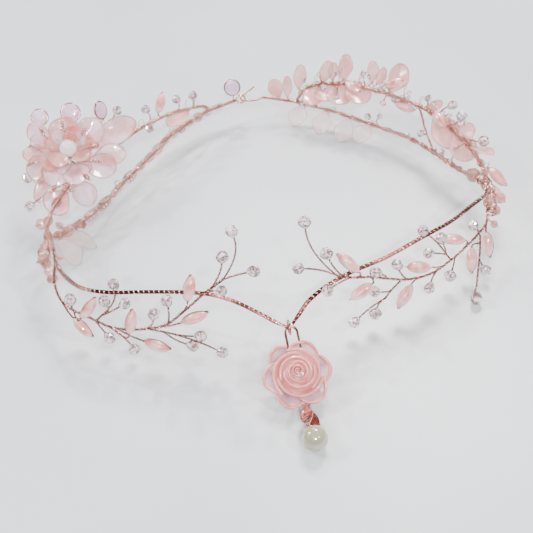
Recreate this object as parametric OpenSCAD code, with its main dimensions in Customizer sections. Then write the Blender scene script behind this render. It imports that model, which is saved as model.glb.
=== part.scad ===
// Wire-wrapped flower crown: a wire ring that dips to a peak over the forehead, with a hanging
// rose-and-pearl pendant, a beaded sprig on each side of the peak, and a double back band that
// carries a resin flower, a petal spray and beaded twigs. +Z is up, the peak is at the front (-Y),
// and the origin is the middle of the head opening on the plane that the crown stands on.

/* [Head ring] */
// Width of the ring from temple to temple
ring_w = 168; // [160:1:176]
// Depth of the ring from the front arms to the back clasp
ring_d = 136; // [130:1:144]
// Diameter of the wrapped band wire
band_wire_d = 1.4; // [1.2:0.1:1.6]
// Diameter of the twisted stem wire
stem_wire_d = 0.8; // [0.7:0.1:1]
// Diameter of the twisted twig wire
twig_wire_d = 0.5; // [0.5:0.1:0.7]

/* [Beads] */
// Diameter of a faceted crystal
crystal_d = 4; // [3.6:0.1:4.2]
// Length of a rice pearl
rice_l = 9; // [8:0.5:9.5]
// Diameter of a rice pearl
rice_d = 4.2; // [3.8:0.1:4.4]
// Diameter of a seed bead on the back band
seed_d = 1.8; // [1.6:0.1:2]

/* [Pendant] */
// Diameter of the rose over its outer petals
rose_d = 22.4; // [21:0.2:22.6]
// Diameter of the pearl drop
pearl_d = 8; // [7.6:0.1:8]
// Slope of the rose below the horizontal as it rests
rose_tilt = 26; // [24:1:27]

/* [Hidden] */

rose_gold = [0.75, 0.45, 0.40];
crystal_clear = [0.93, 0.89, 0.90];
rice_pink = [0.92, 0.70, 0.69];
petal_pink = [0.93, 0.76, 0.78];

// Resting places and routes are laid out for a ring 168 wide and 136 deep, then stretched to size.
function at(p) = [p[0] * ring_w / 168, p[1] * ring_d / 136, p[2]];
function placed(route) = [for (p = route) at(p)];

// Band wires, from the peak or a temple to the clasp at the back
peak = [-4, -88, 14];
band_left = [
    [-4, -88, 14], [-8, -86, 15.5], [-13, -83, 18], [-20, -79, 21], [-28, -76, 23.5], [-38, -73, 24],
    [-50, -70, 24], [-61, -67, 23.5], [-70, -62, 23], [-76, -53, 21.5], [-79.5, -44, 20], [-82, -32, 17]];
band_right = [
    [-4, -88, 14], [0, -84, 15.5], [4, -81, 18], [11, -78, 20.5], [20, -76, 23], [32, -73, 24],
    [46, -66.5, 24], [60, -59, 23], [71, -51, 22], [78, -45, 20.5], [83, -37, 18]];
lower_left = [
    [-82, -32, 17], [-83.5, -22, 14.5], [-78, -15.5, 12], [-67, -2, 10], [-54, 20, 8], [-43, 35, 8],
    [-34, 48, 8], [-24, 56, 9], [-13, 63, 10], [0, 66, 11.5]];
lower_right = [
    [83, -37, 18], [83.5, -28, 15], [82, -20, 13], [79, -9, 11], [76, 2, 10], [69, 18, 9], [57, 34, 8],
    [43, 50, 8], [28, 61, 9], [13, 65.5, 11.5]];
upper_left = [
    [-82, -32, 17], [-84.5, -20, 17.5], [-82, -8, 19], [-74, 5, 21], [-62, 18, 22], [-47, 34, 22],
    [-34, 45, 21], [-26, 51, 19], [-17, 59, 15], [-13, 63, 10]];
upper_right = [
    [83, -37, 18], [85.5, -27, 19], [85.5, -14, 20], [83, -1, 21], [78, 14, 22], [69, 29, 22],
    [58, 41, 22], [47, 52, 20.5], [34, 59, 17], [28, 61, 9]];
strut_route = [[74.5, 20, 22], [76, 19, 17], [76.5, 15, 13], [76, 2, 10]];

back_wires = [upper_left, upper_right, strut_route, lower_right];

// Stems of each sprig: the main one first, then the side stems that its twigs spring from
left_stems = [
    [[-80, -43, 20], [-81, -50, 16], [-78, -58, 13], [-70, -65, 12], [-62, -71, 11], [-53, -75, 12],
     [-44, -78, 15], [-37, -77, 19], [-30, -77, 25], [-23, -77, 30]],
    [[-67, -67, 12], [-65, -68.5, 15]],
    [[-50, -76, 12.5], [-45, -79, 13]]];
right_stems = [
    [[81, -41, 19], [78, -50, 17.5], [75, -56, 16], [67, -62, 14], [58, -68, 13], [49, -73, 13],
     [40, -75, 14], [32, -77, 18], [26, -78, 21], [20, -79, 23], [14, -80, 26]],
    [[72, -59, 15], [71, -63, 10], [68, -70, 6], [66, -74.5, 4]],
    [[37, -76, 15], [33, -78, 13], [31, -79, 11]],
    [[58, -68, 13], [56, -68, 16]]];

// Beads on twigs: [stem it springs from, how far along that stem, centre, way it points]
left_crystals = [
    [0, 1, [-18, -68, 42], [-2, 3, 8]], [0, 0.93, [-22, -74, 37], [1, 1, 4]],
    [0, 1, [-13, -80, 34], [4, -1, 1]], [0, 0.86, [-24, -78, 26], [4, 0, -1]],
    [0, 0.68, [-42, -76.5, 24.5], [0, 1, 3]], [0, 0.58, [-47, -75, 18], [1, 1, 3]],
    [1, 1, [-59, -65, 25], [0, 1, 3]], [1, 1, [-63, -67.5, 20.5], [-1, 1, 3]],
    [1, 1, [-56, -71, 21], [4, 0, 2]], [2, 1, [-33, -83, 12], [4, -1, 0]],
    [2, 1, [-27, -89, 9], [4, -3, -1]], [2, 1, [-36, -83, 8], [3, -1, -1]],
    [0, 0.42, [-56, -77, 5], [2, -2, -3]], [0, 0.36, [-64, -71, 6], [2, -2, -3]],
    [0, 0.22, [-75, -61, 18], [0, 1, 2]]];
left_rices = [
    [0, 0.76, [-34, -76.5, 28], [1, 1, 3]], [0, 0.63, [-34, -80, 18], [4, 0, 1]],
    [0, 0.44, [-55, -75, 16], [1, 1, 3]], [0, 0.46, [-48, -80, 8], [4, -2, -1]],
    [0, 0.27, [-69, -66, 17], [3, 1, 3]], [0, 0.2, [-73, -65, 7.5], [2, -2, -2]]];
right_crystals = [
    [0, 1, [6, -68, 41], [0, 3, 8]], [0, 0.96, [11, -77, 34], [-1, 1, 3]],
    [0, 1, [1, -81, 33], [-4, 0, 1]], [0, 0.92, [10, -83, 23], [-3, -2, 0]],
    [2, 0.5, [27, -79, 15], [-3, 0, 1]], [0, 0.72, [27, -78.7, 23.5], [-3, 1, 1]],
    [0, 0.6, [36, -74, 21], [-1, 1, 3]], [2, 1, [19, -83, 6], [-3, -1, -2]],
    [2, 1, [27, -81, 6], [-1, -1, -3]], [0, 0.47, [48, -75, 8], [-1, -1, -3]],
    [0, 0.38, [58, -69, 6], [-1, -1, -3]], [3, 1, [47, -67, 28], [-3, 1, 3]],
    [3, 1, [54.3, -65.8, 22.3], [-1, 1, 3]], [3, 1, [49, -69, 19], [-4, 0, 1]],
    [0, 0.27, [69, -58, 19], [-2, 2, 2]], [1, 0.45, [72, -68, 5], [2, -2, -3]]];
right_rices = [
    [0, 0.9, [18, -79, 30], [-3, 2, 3]], [0, 0.8, [22, -80.5, 17.5], [-3, -1, -1]],
    [0, 0.54, [38, -78, 9.5], [-3, -2, -3]], [0, 0.44, [44, -74, 18], [-4, 0, 1]],
    [0, 0.34, [60, -64, 19], [-3, 0, 1]], [0, 0.16, [75, -60, 10], [0, -2, -3]],
    [1, 0.2, [67, -65, 8.5], [-1, -3, -3]]];

// Beads on the back vine, on twigs from the wires in back_wires; a fifth value is the bead's diameter
back_left_crystals = [
    [0, 0.6, [-42, 41, 28], [-1, 0, 2]], [0, 0.64, [-42, 43, 17], [-1, 1, -3]],
    [0, 0.72, [-28, 52, 24.5], [-1, 1, 3]], [0, 0.82, [-20, 60, 21], [0, 1, 3]],
    [0, 0.34, [-94, 5, 12], [-3, 0, -2], 4.4], [0, 0.36, [-94.5, 18, 17], [-4, 0, -1], 4.2],
    [0, 0.5, [-53, 33, 34], [2, 1, 2], 3.6]];
back_right_crystals = [
    [1, 0.79, [44, 43.5, 18.5], [-1, -3, -1], 2.6], [1, 0.78, [39, 49, 21.5], [-2, -2, 0], 3],
    [1, 0.68, [57, 47, 27], [0, 2, 3], 2.6], [1, 0.6, [62, 32, 18.5], [-1, -1, -2], 2.6],
    [1, 0.58, [68, 35, 18], [0, 1, -3], 2.6], [1, 0.46, [79, 22, 24.5], [0, 1, 3], 3],
    [1, 0.42, [86, 11, 26], [4, 0, 1]], [1, 0.37, [88, 5, 24], [2, 1, 2], 4.8],
    [1, 0.3, [88.5, -17.5, 25.5], [2, -4, 2], 4.4], [1, 0.27, [80, -11, 19.5], [-2, 0, -1], 2.6],
    [2, 0.72, [73.5, 13, 13], [-2, 0, 1], 3], [3, 0.62, [55, 31, 14], [-1, 0, 3], 3],
    [3, 0.635, [61, 33, 12], [2, 1, 2], 2.6], [3, 0.41, [77, -4.4, 14], [0, -2, 1], 2.6],
    [3, 0.345, [82, -7, 13.5], [2, 0, 2], 2.6], [3, 0.9, [31, 55, 11], [2, -3, 1]]];
back_rices = [
    [0, 0.68, [-35, 46, 27], [1, 1, 2]], [1, 0.74, [51, 43, 23], [2, -3, -1]],
    [1, 0.56, [67, 34, 27], [3, -1, 1]], [1, 0.52, [70.5, 27, 18.5], [3, -2, -1]],
    [1, 0.42, [78, 4, 24.5], [1, -3, -1]], [1, 0.1, [88.5, -33, 19], [2, -3, -2]]];

// Beads strung close on the wires of each corner: [centre, diameter]
left_corner = [
    [[-85, -38, 18], 4.6], [[-84.5, -27, 16], 4.4], [[-87, -15, 17], 4.6], [[-81, -13, 13.5], 3.2],
    [[-79, -38.5, 18], 1.8], [[-83, -46, 15], 2.4]];
right_corner = [
    [[82.5, -25, 15.5], 6], [[87, -41, 15], 4.4], [[80, -45.5, 17.5], 4], [[83, -46.5, 14], 4],
    [[79.5, -54, 14], 3]];
knot_centre = [-73, -10, 10.5];
drop_centre = [65, -78, 3];

// Petals: [root, tip, way the face looks, width]
flower_centre = [-76, 15, 26];
flower_petal_list = [
    [[-75, 20, 28], [-75, 28, 37], [0, -3, 2], 12], [[-70, 19, 28], [-61, 26, 35], [1, -3, 3], 10],
    [[-66, 19, 26], [-47, 33, 28], [1, -3, 4], 10], [[-66, 15, 24], [-52, 16, 23], [1, -3, 4], 9],
    [[-68, 15, 24.5], [-58, 8, 19], [1, -3, 4], 11], [[-73, 12, 25], [-71, 0.5, 21.5], [0, -4, 3], 10],
    [[-77, 14, 25], [-84, 8, 18], [-1, -3, 3], 11], [[-80, 16, 24.5], [-93, 16, 20], [-1, -3, 3], 10],
    [[-81, 20, 26], [-94, 22, 26], [-1, -3, 3], 7], [[-81, 24, 27], [-91, 35, 31], [-1, -3, 3], 8],
    [[-80, 21.5, 27], [-90, 27, 29.5], [-2, -3, 2], 7], [[-83, 14, 19], [-91, 7, 12], [-1, -3, 3], 7],
    [[-77, 0.8, 19.6], [-85, -3, 13], [0, -3, 4], 11], [[-73, 6.5, 20.3], [-69, -1, 12], [1, -3, 3], 9]];
heart_petal_list = [
    [[-70, 17, 28.5], [-63, 14, 30], [1, -3, 4], 8], [[-75.5, 13, 30], [-80, 8, 27], [-1, -3, 4], 8],
    [[-78, 17, 30], [-83, 18, 33.5], [-2, -3, 3], 6], [[-73, 19, 31], [-69, 21, 36], [1, -3, 2], 8],
    [[-71, 14, 29], [-68, 8.5, 27], [1, -3, 4], 7], [[-76.5, 19, 30.5], [-77, 22, 35.5], [-1, -3, 2], 6]];
spray_petal_list = [
    [[29, 58, 17], [31, 61, 28], [0, -3, 1], 5.5], [[40, 57.5, 18.5], [44, 59, 29], [0, -3, 1], 5.5],
    [[45, 56.5, 20], [46, 59, 28], [0, -3, 1], 4.5], [[50, 54, 20.5], [52, 59, 31], [0, -3, 1], 6],
    [[61, 46, 21.5], [62, 51, 30], [1, -3, 1], 5.5], [[62.5, 44, 21.5], [67, 48, 27.5], [1, -3, 1], 5],
    [[24, 60, 12], [25, 65, 21], [0, -3, 1], 4], [[20.5, 62.5, 11.5], [18, 66.5, 19.5], [0, -3, 1], 6.5],
    [[32, 58, 16.5], [37, 50, 12.5], [0, -2, 3], 10], [[38, 57, 18], [43, 48, 14.5], [0, -2, 3], 11],
    [[45, 54, 19.5], [47, 43, 14], [0, -2, 3], 12], [[50, 51, 20.5], [57, 39, 16], [0, -2, 3], 11],
    [[66, 36, 21.5], [75, 45, 29], [1, -3, 2], 9], [[77, 17, 22], [83, 15, 26], [0, -3, 2], 4],
    [[78.5, 12, 21.5], [84, -2, 13], [-1, -2, 3], 11],
    [[82.5, -2, 20.5], [86, -13, 13.5], [-1, -2, 3], 10],
    [[83, -5, 20.5], [89.5, -4, 24.5], [0, -3, 2], 6], [[85.5, -13.5, 20.9], [88.5, -25.5, 23.5], [1, -2, 3], 7],
    [[83.4, -30, 15.5], [90, -37, 9], [1, -2, 3], 6], [[-23, 54, 17], [-34, 45, 15.5], [0, -3, 4], 7]];
corner_petal_list = [
    [[-80, -17, 12], [-78, -5, 4.5], [-1, -1, 3], 6], [[-80.5, -18, 12.5], [-70, -12, 0], [0, -1, 3], 8],
    [[-82, -21, 13.5], [-76, -21, 0], [2, -2, 3], 8]];
band_petal_list = [
    [[57, 34, 7.5], [49, 29, 2.5], [0, -1, 3], 8], [[49.5, 42.5, 7.2], [43, 35, 0], [0, -1, 3], 8],
    [[41, 51.5, 7.5], [35, 44, 0], [0, -1, 3], 8], [[31, 59, 8], [25, 52, 1.5], [0, -1, 3], 8]];
petal_t = 0.9;
petal_cup = 0.16;

// Moonstone discs: [centre, way the face looks, diameter]
disc_list = [
    [[-86, 38, 33], [0, -3, 2], 6.6], [[-72, 31, 37], [0, -3, 2], 7.6], [[-60, 33, 35], [3, -2, 1], 7],
    [[-1, 68, 17.5], [0, -3, 1], 7.2]];
disc_t = 1.6;
disc_rim_d = 0.7;

band_sides = 8;
twig_sides = 6;
embed = 0.35;
seed_step = 0.055;
last_seed = 15;

// Pendant chain
jump_r = 2.2;
ring_wire_d = 0.85;
jump_centre = [-0.25, -0.25, 0.55];
loop_top = [0, -0.81, 1.43];
loop_r = 1.95;
loop_leg = 6.2;
rose_drop = 15.8;
rose_shift = -0.75;
rose_r = rose_d / 2;
rose_turn = 3;
rose_root_r = 1.7;
rose_petal_w = 10.6;
core_r = 7;
core_h = 5.4;
eye_r = 1.5;
eye_wire_d = 0.6;
eye_drop = 25.2;
eye_sink = 0.3;
fold_r = 0.9;
leaf_t = 0.35;
fold_w = 0.75;
leaf_w = 4.6;
leaf_l = 9.6;
leaf_splay = 15;
bail_roll = -25;
pin_drop = 8.8;
pin_d = 0.7;
pin_l = 7.4;
pin_play = 0.08;
pearl_hang = 3.4;
// Height of the rose's eye over the plane, and the bail's slope that lets the pearl rest on it
eye_z = peak[2] + loop_top[2] - (eye_drop + eye_r) * sin(rose_tilt) - eye_sink * cos(rose_tilt);
bail_tilt = -asin((pearl_d / 2 - eye_z) / (pin_drop + pearl_hang));

function unit(v) = v / norm(v);
function lerp(a, b, t) = a + (b - a) * t;
// Point on a Catmull-Rom curve through p, for t from 0 at its first point to 1 at its last
function on_curve(p, t) =
    let (n = len(p) - 1, i = min(floor(t * n), n - 1), u = t * n - i,
         a = p[max(i - 1, 0)], b = p[i], c = p[i + 1], d = p[min(i + 2, n)])
    0.5 * (2 * b + (c - a) * u + (2 * a - 5 * b + 4 * c - d) * u * u + (3 * b - a - 3 * c + d) * u * u * u);
function smooth_route(p, per) =
    let (n = (len(p) - 1) * per) [for (i = [0 : n]) on_curve(p, i / n)];
function heading(p, i) = unit(p[min(i + 1, len(p) - 1)] - p[max(i - 1, 0)]);
// Side directions carried along the route without twisting
function sides_of(p, i = 0, last = [0, 0, 0]) =
    i == len(p) ? [] :
    let (t = heading(p, i), start = cross(t, abs(t[2]) < 0.9 ? [0, 0, 1] : [1, 0, 0]),
         s = unit(i == 0 ? start : last - (last * t) * t))
    concat([s], sides_of(p, i + 1, s));

// Round wire swept along a route
module wire(route, d, sides) {
    across = sides_of(route);
    n = len(route);
    points = [for (i = [0 : n - 1]) let (up = cross(heading(route, i), across[i]))
        for (k = [0 : sides - 1]) let (a = 360 * k / sides)
            route[i] + (across[i] * cos(a) + up * sin(a)) * d / 2];
    walls = [for (i = [0 : n - 2]) for (k = [0 : sides - 1])
        let (a = i * sides + k, b = i * sides + (k + 1) % sides)
            each [[a, a + sides, b], [b, a + sides, b + sides]]];
    start_cap = [for (k = [0 : sides - 1]) k];
    end_cap = [for (k = [0 : sides - 1]) n * sides - 1 - k];
    polyhedron(points, concat(walls, [start_cap, end_cap]));
}

// Joins wires that run into each other into one solid; the size stays as it is
module soldered() {
    resize([0, 0, 0]) children();
}

module facing(dir) {
    rotate([0, acos(dir[2] / norm(dir)), atan2(dir[1], dir[0])]) children();
}

function bead_d(b) = is_undef(b[4]) ? crystal_d : b[4];

module crystal(centre, d) {
    translate(centre) sphere(d = d, $fn = 32);
}

module rice_pearl(centre, dir) {
    outline = [for (a = [0 : 15 : 180]) [rice_d / 2 * pow(sin(a), 1.15), -rice_l / 2 * cos(a)]];
    translate(at(centre)) facing(dir)
        rotate_extrude($fn = 32) polygon(outline);
}

// Twig from a stem to the near end of a bead, bending into the way the bead points
function twig_route(stem, t, centre, dir, reach) =
    let (start = on_curve(stem, t), end = centre - unit(dir) * (reach - embed),
         bend = end - unit(dir) * 0.45 * norm(end - start))
    [for (u = [0 : 0.25 : 1]) lerp(lerp(start, bend, u), lerp(bend, end, u), u)];

module twigs(stems, beads) {
    for (b = beads)
        let (route = twig_route(placed(stems[b[0]]), b[1], at(b[2]), b[3], bead_d(b) / 2))
            wire(route, twig_wire_d, twig_sides);
}

module rice_twigs(stems, beads) {
    for (b = beads)
        let (route = twig_route(placed(stems[b[0]]), b[1], at(b[2]), b[3], rice_l / 2))
            wire(route, twig_wire_d, twig_sides);
}

module stems(list) {
    soldered() for (s = list)
        wire(smooth_route(placed(s), 3), stem_wire_d, twig_sides);
}

// Cupped petal from root to tip, rounded at the end, as a closed shell
module petal(root, tip, face, width) {
    long = norm(tip - root);
    y = unit(tip - root);
    x = unit(cross(y, face));
    z = cross(x, y);
    rows = 6;
    cols = 4;
    function half(u) = width / 2 * (0.22 + 0.78 * pow(sin(15 + 135 * u), 1.5)) * (u == 1 ? 0.75 : 1);
    function spot(i, j, side) =
        let (u = i / rows, v = 2 * j / cols - 1,
             rise = petal_cup * width * (v * v + u * u * 0.6) + side * petal_t / 2 * (1 - 0.4 * v * v))
        root + x * v * half(u) + y * long * u * (1 - 0.1 * v * v) + z * rise;
    grid = (rows + 1) * (cols + 1);
    points = [for (side = [1, -1]) for (i = [0 : rows]) for (j = [0 : cols]) spot(i, j, side)];
    function id(i, j, under) = under * grid + i * (cols + 1) + j;
    skins = [for (i = [0 : rows - 1]) for (j = [0 : cols - 1]) each [
        [id(i, j, 0), id(i + 1, j, 0), id(i, j + 1, 0)],
        [id(i + 1, j, 0), id(i + 1, j + 1, 0), id(i, j + 1, 0)],
        [id(i, j, 1), id(i, j + 1, 1), id(i + 1, j, 1)],
        [id(i + 1, j, 1), id(i, j + 1, 1), id(i + 1, j + 1, 1)]]];
    long_edges = [for (i = [0 : rows - 1]) each [
        [id(i, 0, 0), id(i, 0, 1), id(i + 1, 0, 0)], [id(i + 1, 0, 0), id(i, 0, 1), id(i + 1, 0, 1)],
        [id(i, cols, 0), id(i + 1, cols, 0), id(i, cols, 1)],
        [id(i + 1, cols, 0), id(i + 1, cols, 1), id(i, cols, 1)]]];
    ends = [for (j = [0 : cols - 1]) each [
        [id(0, j, 0), id(0, j + 1, 0), id(0, j, 1)], [id(0, j + 1, 0), id(0, j + 1, 1), id(0, j, 1)],
        [id(rows, j, 0), id(rows, j, 1), id(rows, j + 1, 0)],
        [id(rows, j + 1, 0), id(rows, j, 1), id(rows, j + 1, 1)]]];
    polyhedron(points, concat(skins, long_edges, ends));
}

module ring(r, d) {
    rotate_extrude($fn = 48) translate([r, 0]) circle(d = d, $fn = 48);
}

module band_wire(route) {
    color(rose_gold) wire(smooth_route(placed(route), 3), band_wire_d, band_sides);
}

module front_band_left() { band_wire(band_left); }
module front_band_right() { band_wire(band_right); }
module lower_back_wire_left() { band_wire(lower_left); }
module lower_back_wire_right() { band_wire(lower_right); }
module upper_back_wire_left() { band_wire(upper_left); }
module upper_back_wire_right() { band_wire(upper_right); }

module back_strut() {
    color(rose_gold) wire(smooth_route(placed(strut_route), 3), stem_wire_d, twig_sides);
}

// Eye on the end of the left wire, standing upright across the gap
module clasp_eye() {
    color(rose_gold) translate(at([2.4, 66.2, 11.8])) rotate([90, 0, 0]) ring(2, 1);
}

// Hook on the end of the right wire, passing through the eye and curling back up
module clasp_hook() {
    hook = [[13, 65.5, 11.5], [10, 64.5, 11], [6.5, 64.3, 11.2], [3.4, 65.2, 11.6], [2.4, 66.8, 11.8],
        [3.6, 68.4, 12.2], [6.5, 69, 13.5], [9.5, 68.6, 16]];
    color(rose_gold) wire(smooth_route(placed(hook), 3), 1, band_sides);
}

module left_sprig_stems() { color(rose_gold) stems(left_stems); }
module right_sprig_stems() { color(rose_gold) stems(right_stems); }

module left_sprig_twigs() {
    color(rose_gold) soldered() {
        twigs(left_stems, left_crystals);
        rice_twigs(left_stems, left_rices);
    }
}

module right_sprig_twigs() {
    color(rose_gold) soldered() {
        twigs(right_stems, right_crystals);
        rice_twigs(right_stems, right_rices);
    }
}

module crystals(beads) {
    color(crystal_clear) for (b = beads) crystal(at(b[2]), bead_d(b));
}

module left_sprig_crystals() { crystals(left_crystals); }
module right_sprig_crystals() { crystals(right_crystals); }

module left_sprig_rice_pearls() {
    color(rice_pink) for (b = left_rices) rice_pearl(b[2], b[3]);
}

module right_sprig_rice_pearls() {
    color(rice_pink) for (b = right_rices) rice_pearl(b[2], b[3]);
}

// Briolette that hangs from the right sprig and rests on the plane
module hanging_drop() {
    color(crystal_clear) translate(at(drop_centre)) facing([0.2, 0.75, 0.25])
        rotate_extrude($fn = 32) polygon([for (a = [0 : 15 : 180])
            [2.3 * sin(a) * (0.72 - 0.28 * cos(a + 180)) / 0.8, -2.9 * cos(a)]]);
}

module corner_beads(list) {
    color(crystal_clear) for (b = list) crystal(at(b[0]), b[1]);
}

module left_corner_beads() { corner_beads(left_corner); }
module right_corner_beads() { corner_beads(right_corner); }

// Bead bound in turns of wire, strung on the lower wire beside the left temple
module wrapped_knot() {
    color(rose_gold) {
        crystal(at(knot_centre), 3.4);
        translate(at(knot_centre)) facing([2, 1, 1]) ring(1.5, 0.7);
    }
}

module back_twigs_left() {
    color(rose_gold) soldered() {
        twigs(back_wires, back_left_crystals);
        rice_twigs(back_wires, [back_rices[0]]);
        for (i = [0 : 2])
            disc_twig(disc_list[i], flower_centre);
        disc_twig(disc_list[3], [-1, 66, 11.5]);
    }
}

// Wire that carries a rimmed disc, from its root to the lowest place on its rim
module disc_twig(disc, root) {
    n = unit(disc[1]);
    foot = at(disc[0]) + unit([0, 0, -1] + n * n[2]) * (disc[2] + disc_rim_d) / 2;
    route = [for (u = [0 : 0.25 : 1]) lerp(at(root), foot, u) + [0, 0, -3 * u * (1 - u)]];
    wire(route, twig_wire_d, twig_sides);
}

module back_twigs_right() {
    color(rose_gold) soldered() {
        twigs(back_wires, back_right_crystals);
        rice_twigs(back_wires, [for (i = [1 : 5]) back_rices[i]]);
    }
}

module back_crystals_left() { crystals(back_left_crystals); }
module back_crystals_right() { crystals(back_right_crystals); }

module back_rice_pearls() {
    color(rice_pink) for (b = back_rices) rice_pearl(b[2], b[3]);
}

// Seed beads wound on a lower wire, one above and the next inside, up to where the back wires join
module seed_row(route, first, inward) {
    for (i = [first : last_seed]) {
        side = unit(i % 2 == 0 ? [0, 0, 1] : inward);
        crystal(on_curve(placed(route), i * seed_step) + side * (band_wire_d + seed_d - embed) / 2, seed_d);
    }
}

module band_seed_beads() {
    color(crystal_clear) {
        seed_row(lower_left, 6, [0.6, -0.6, 0.3]);
        seed_row(lower_right, 4, [-0.7, -0.5, 1]);
    }
}

module petals(list) {
    soldered() for (p = list)
        petal(at(p[0]), at(p[1]), p[2], p[3]);
}

module flower_petals() { color(petal_pink) petals(flower_petal_list); }
module flower_heart() { color([0.88, 0.60, 0.58]) petals(heart_petal_list); }

module flower_pearl() {
    color("ivory") crystal(at(flower_centre) + [2, -1, 5], 7);
}

module disc_blank(disc) {
    translate(at(disc[0])) facing(disc[1])
        rotate_extrude($fn = 48) polygon([for (a = [-90 : 15 : 90])
            [max(disc[2] / 2 * pow(cos(a), 0.5), 0), disc_t / 2 * sin(a)]]);
}

module moonstone_discs() {
    color([0.85, 0.82, 0.90]) for (disc = disc_list) disc_blank(disc);
}

module disc_rims() {
    color(rose_gold) for (disc = disc_list)
        translate(at(disc[0])) facing(disc[1]) ring(disc[2] / 2, disc_rim_d);
}

module spray_petals() { color(petal_pink) petals(spray_petal_list); }
module corner_petals() { color(petal_pink) petals(corner_petal_list); }
module band_petals() { color(petal_pink) petals(band_petal_list); }

// Pendant pieces hang from the peak, each in the frame of the one above
module jump_ring() {
    color(rose_gold) translate(at(peak) + jump_centre) rotate([0, 90, 0]) ring(jump_r, ring_wire_d);
}

module rose_frame() {
    translate(at(peak) + loop_top) rotate([rose_tilt, 0, 0]) children();
}

// Frame of the bail, with its fold around the lowest turn of the rose's eye
module bail_frame() {
    rose_frame() translate([0, -eye_drop - eye_r, -eye_sink])
        rotate([bail_tilt - rose_tilt, 0, 0]) rotate([0, bail_roll, 0]) children();
}

module rose_loop() {
    color(rose_gold) rose_frame() {
        translate([0, -loop_r, 0]) rotate_extrude(angle = 180, $fn = 48)
            translate([loop_r, 0]) circle(d = ring_wire_d, $fn = 48);
        for (side = [-1, 1])
            translate([side * loop_r, -loop_r, 0]) rotate([90, 0, 0])
                cylinder(d = ring_wire_d, h = loop_leg, $fn = 24);
    }
}

module rose_petals() {
    color(petal_pink) rose_frame() translate([rose_shift, -rose_drop, 0]) soldered() for (k = [0 : 5]) {
        out = [cos(60 * k + rose_turn), sin(60 * k + rose_turn), 0];
        low = [0, 0, k % 2 == 0 ? -1 : -0.45];
        petal(rose_root_r * out + low, rose_r * out + low, [0, 0, 1], rose_petal_w);
    }
}

module rose_core() {
    color([0.88, 0.58, 0.56]) rose_frame() translate([rose_shift, -rose_drop, 0]) rotate_extrude($fn = 64)
        polygon([[0, -1], [4.5, -0.8], [core_r, 1.2], [core_r - 0.2, 2.4], [core_r - 1, 2.2], [5, 3.9],
            [4.4, 3.7], [3.2, 4.8], [2.6, 4.5], [1.4, core_h], [0, core_h]]);
}

module rose_eye() {
    color(rose_gold) rose_frame() translate([0, -eye_drop, -eye_sink]) ring(eye_r, eye_wire_d);
}

// Pinch bail: one strip folded over the eye, with a leaf on each side of the pearl
module drop_bail() {
    half = [[fold_w / 2, 0.1], [leaf_w / 3, -0.2 * leaf_l], [leaf_w / 2, -0.45 * leaf_l],
        [leaf_w / 3, -0.75 * leaf_l], [fold_w / 2, -leaf_l]];
    leaf = concat(half, [for (i = [4 : -1 : 0]) [-half[i][0], half[i][1]]]);
    color(rose_gold) bail_frame() {
        rotate([0, -90, 0]) rotate_extrude(angle = 180, $fn = 48)
            translate([fold_r, 0]) square([leaf_t, fold_w], center = true);
        for (side = [-1, 1])
            translate([0, 0, side * fold_r]) rotate([-side * leaf_splay, 0, 0])
                translate([0, 0, -leaf_t / 2]) linear_extrude(leaf_t) polygon(leaf);
    }
}

module drop_pin() {
    color(rose_gold) bail_frame() translate([0, -pin_drop, -pin_l / 2])
        cylinder(d = pin_d, h = pin_l, $fn = 24);
}

module pearl_drop() {
    color("ivory") bail_frame() translate([0, -pin_drop - pearl_hang, 0]) difference() {
        sphere(d = pearl_d, $fn = 64);
        translate([0, pearl_hang, -pearl_d]) cylinder(d = pin_d + 2 * pin_play, h = 2 * pearl_d, $fn = 24);
    }
}

front_band_left();
front_band_right();
lower_back_wire_left();
lower_back_wire_right();
upper_back_wire_left();
upper_back_wire_right();
back_strut();
clasp_eye();
clasp_hook();
left_sprig_stems();
left_sprig_twigs();
left_sprig_crystals();
left_sprig_rice_pearls();
right_sprig_stems();
right_sprig_twigs();
right_sprig_crystals();
right_sprig_rice_pearls();
hanging_drop();
left_corner_beads();
right_corner_beads();
wrapped_knot();
back_twigs_left();
back_twigs_right();
back_crystals_left();
back_crystals_right();
back_rice_pearls();
band_seed_beads();
flower_petals();
flower_heart();
flower_pearl();
moonstone_discs();
disc_rims();
spray_petals();
corner_petals();
band_petals();
jump_ring();
rose_petals();
rose_core();
rose_loop();
rose_eye();
drop_bail();
drop_pin();
pearl_drop();
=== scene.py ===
import bpy, math, random
import numpy as np
from mathutils import Matrix, Vector


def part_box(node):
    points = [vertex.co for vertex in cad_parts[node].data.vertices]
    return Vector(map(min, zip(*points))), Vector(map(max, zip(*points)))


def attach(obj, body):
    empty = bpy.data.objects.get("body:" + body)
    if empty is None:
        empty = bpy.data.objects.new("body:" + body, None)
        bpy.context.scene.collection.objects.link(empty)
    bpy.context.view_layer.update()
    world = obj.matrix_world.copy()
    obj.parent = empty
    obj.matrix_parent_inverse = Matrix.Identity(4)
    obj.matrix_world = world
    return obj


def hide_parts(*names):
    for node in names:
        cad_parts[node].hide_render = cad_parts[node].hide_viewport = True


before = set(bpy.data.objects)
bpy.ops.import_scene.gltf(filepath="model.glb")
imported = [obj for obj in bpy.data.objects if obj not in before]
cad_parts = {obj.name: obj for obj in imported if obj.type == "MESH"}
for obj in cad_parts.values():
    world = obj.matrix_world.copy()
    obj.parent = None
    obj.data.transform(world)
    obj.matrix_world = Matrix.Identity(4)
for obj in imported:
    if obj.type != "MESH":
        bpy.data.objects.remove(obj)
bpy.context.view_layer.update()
MM = 0.001
rng = random.Random(11)


# ---------------------------------------------------------------- camera
TURN, RISE, ROLL_ABOUT_VIEW = 6.5, 42, -5     # degrees
CAMERA_TARGET = Vector((-0.00642, -0.05772, 0.015))
CAMERA_DISTANCE = 0.273


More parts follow.
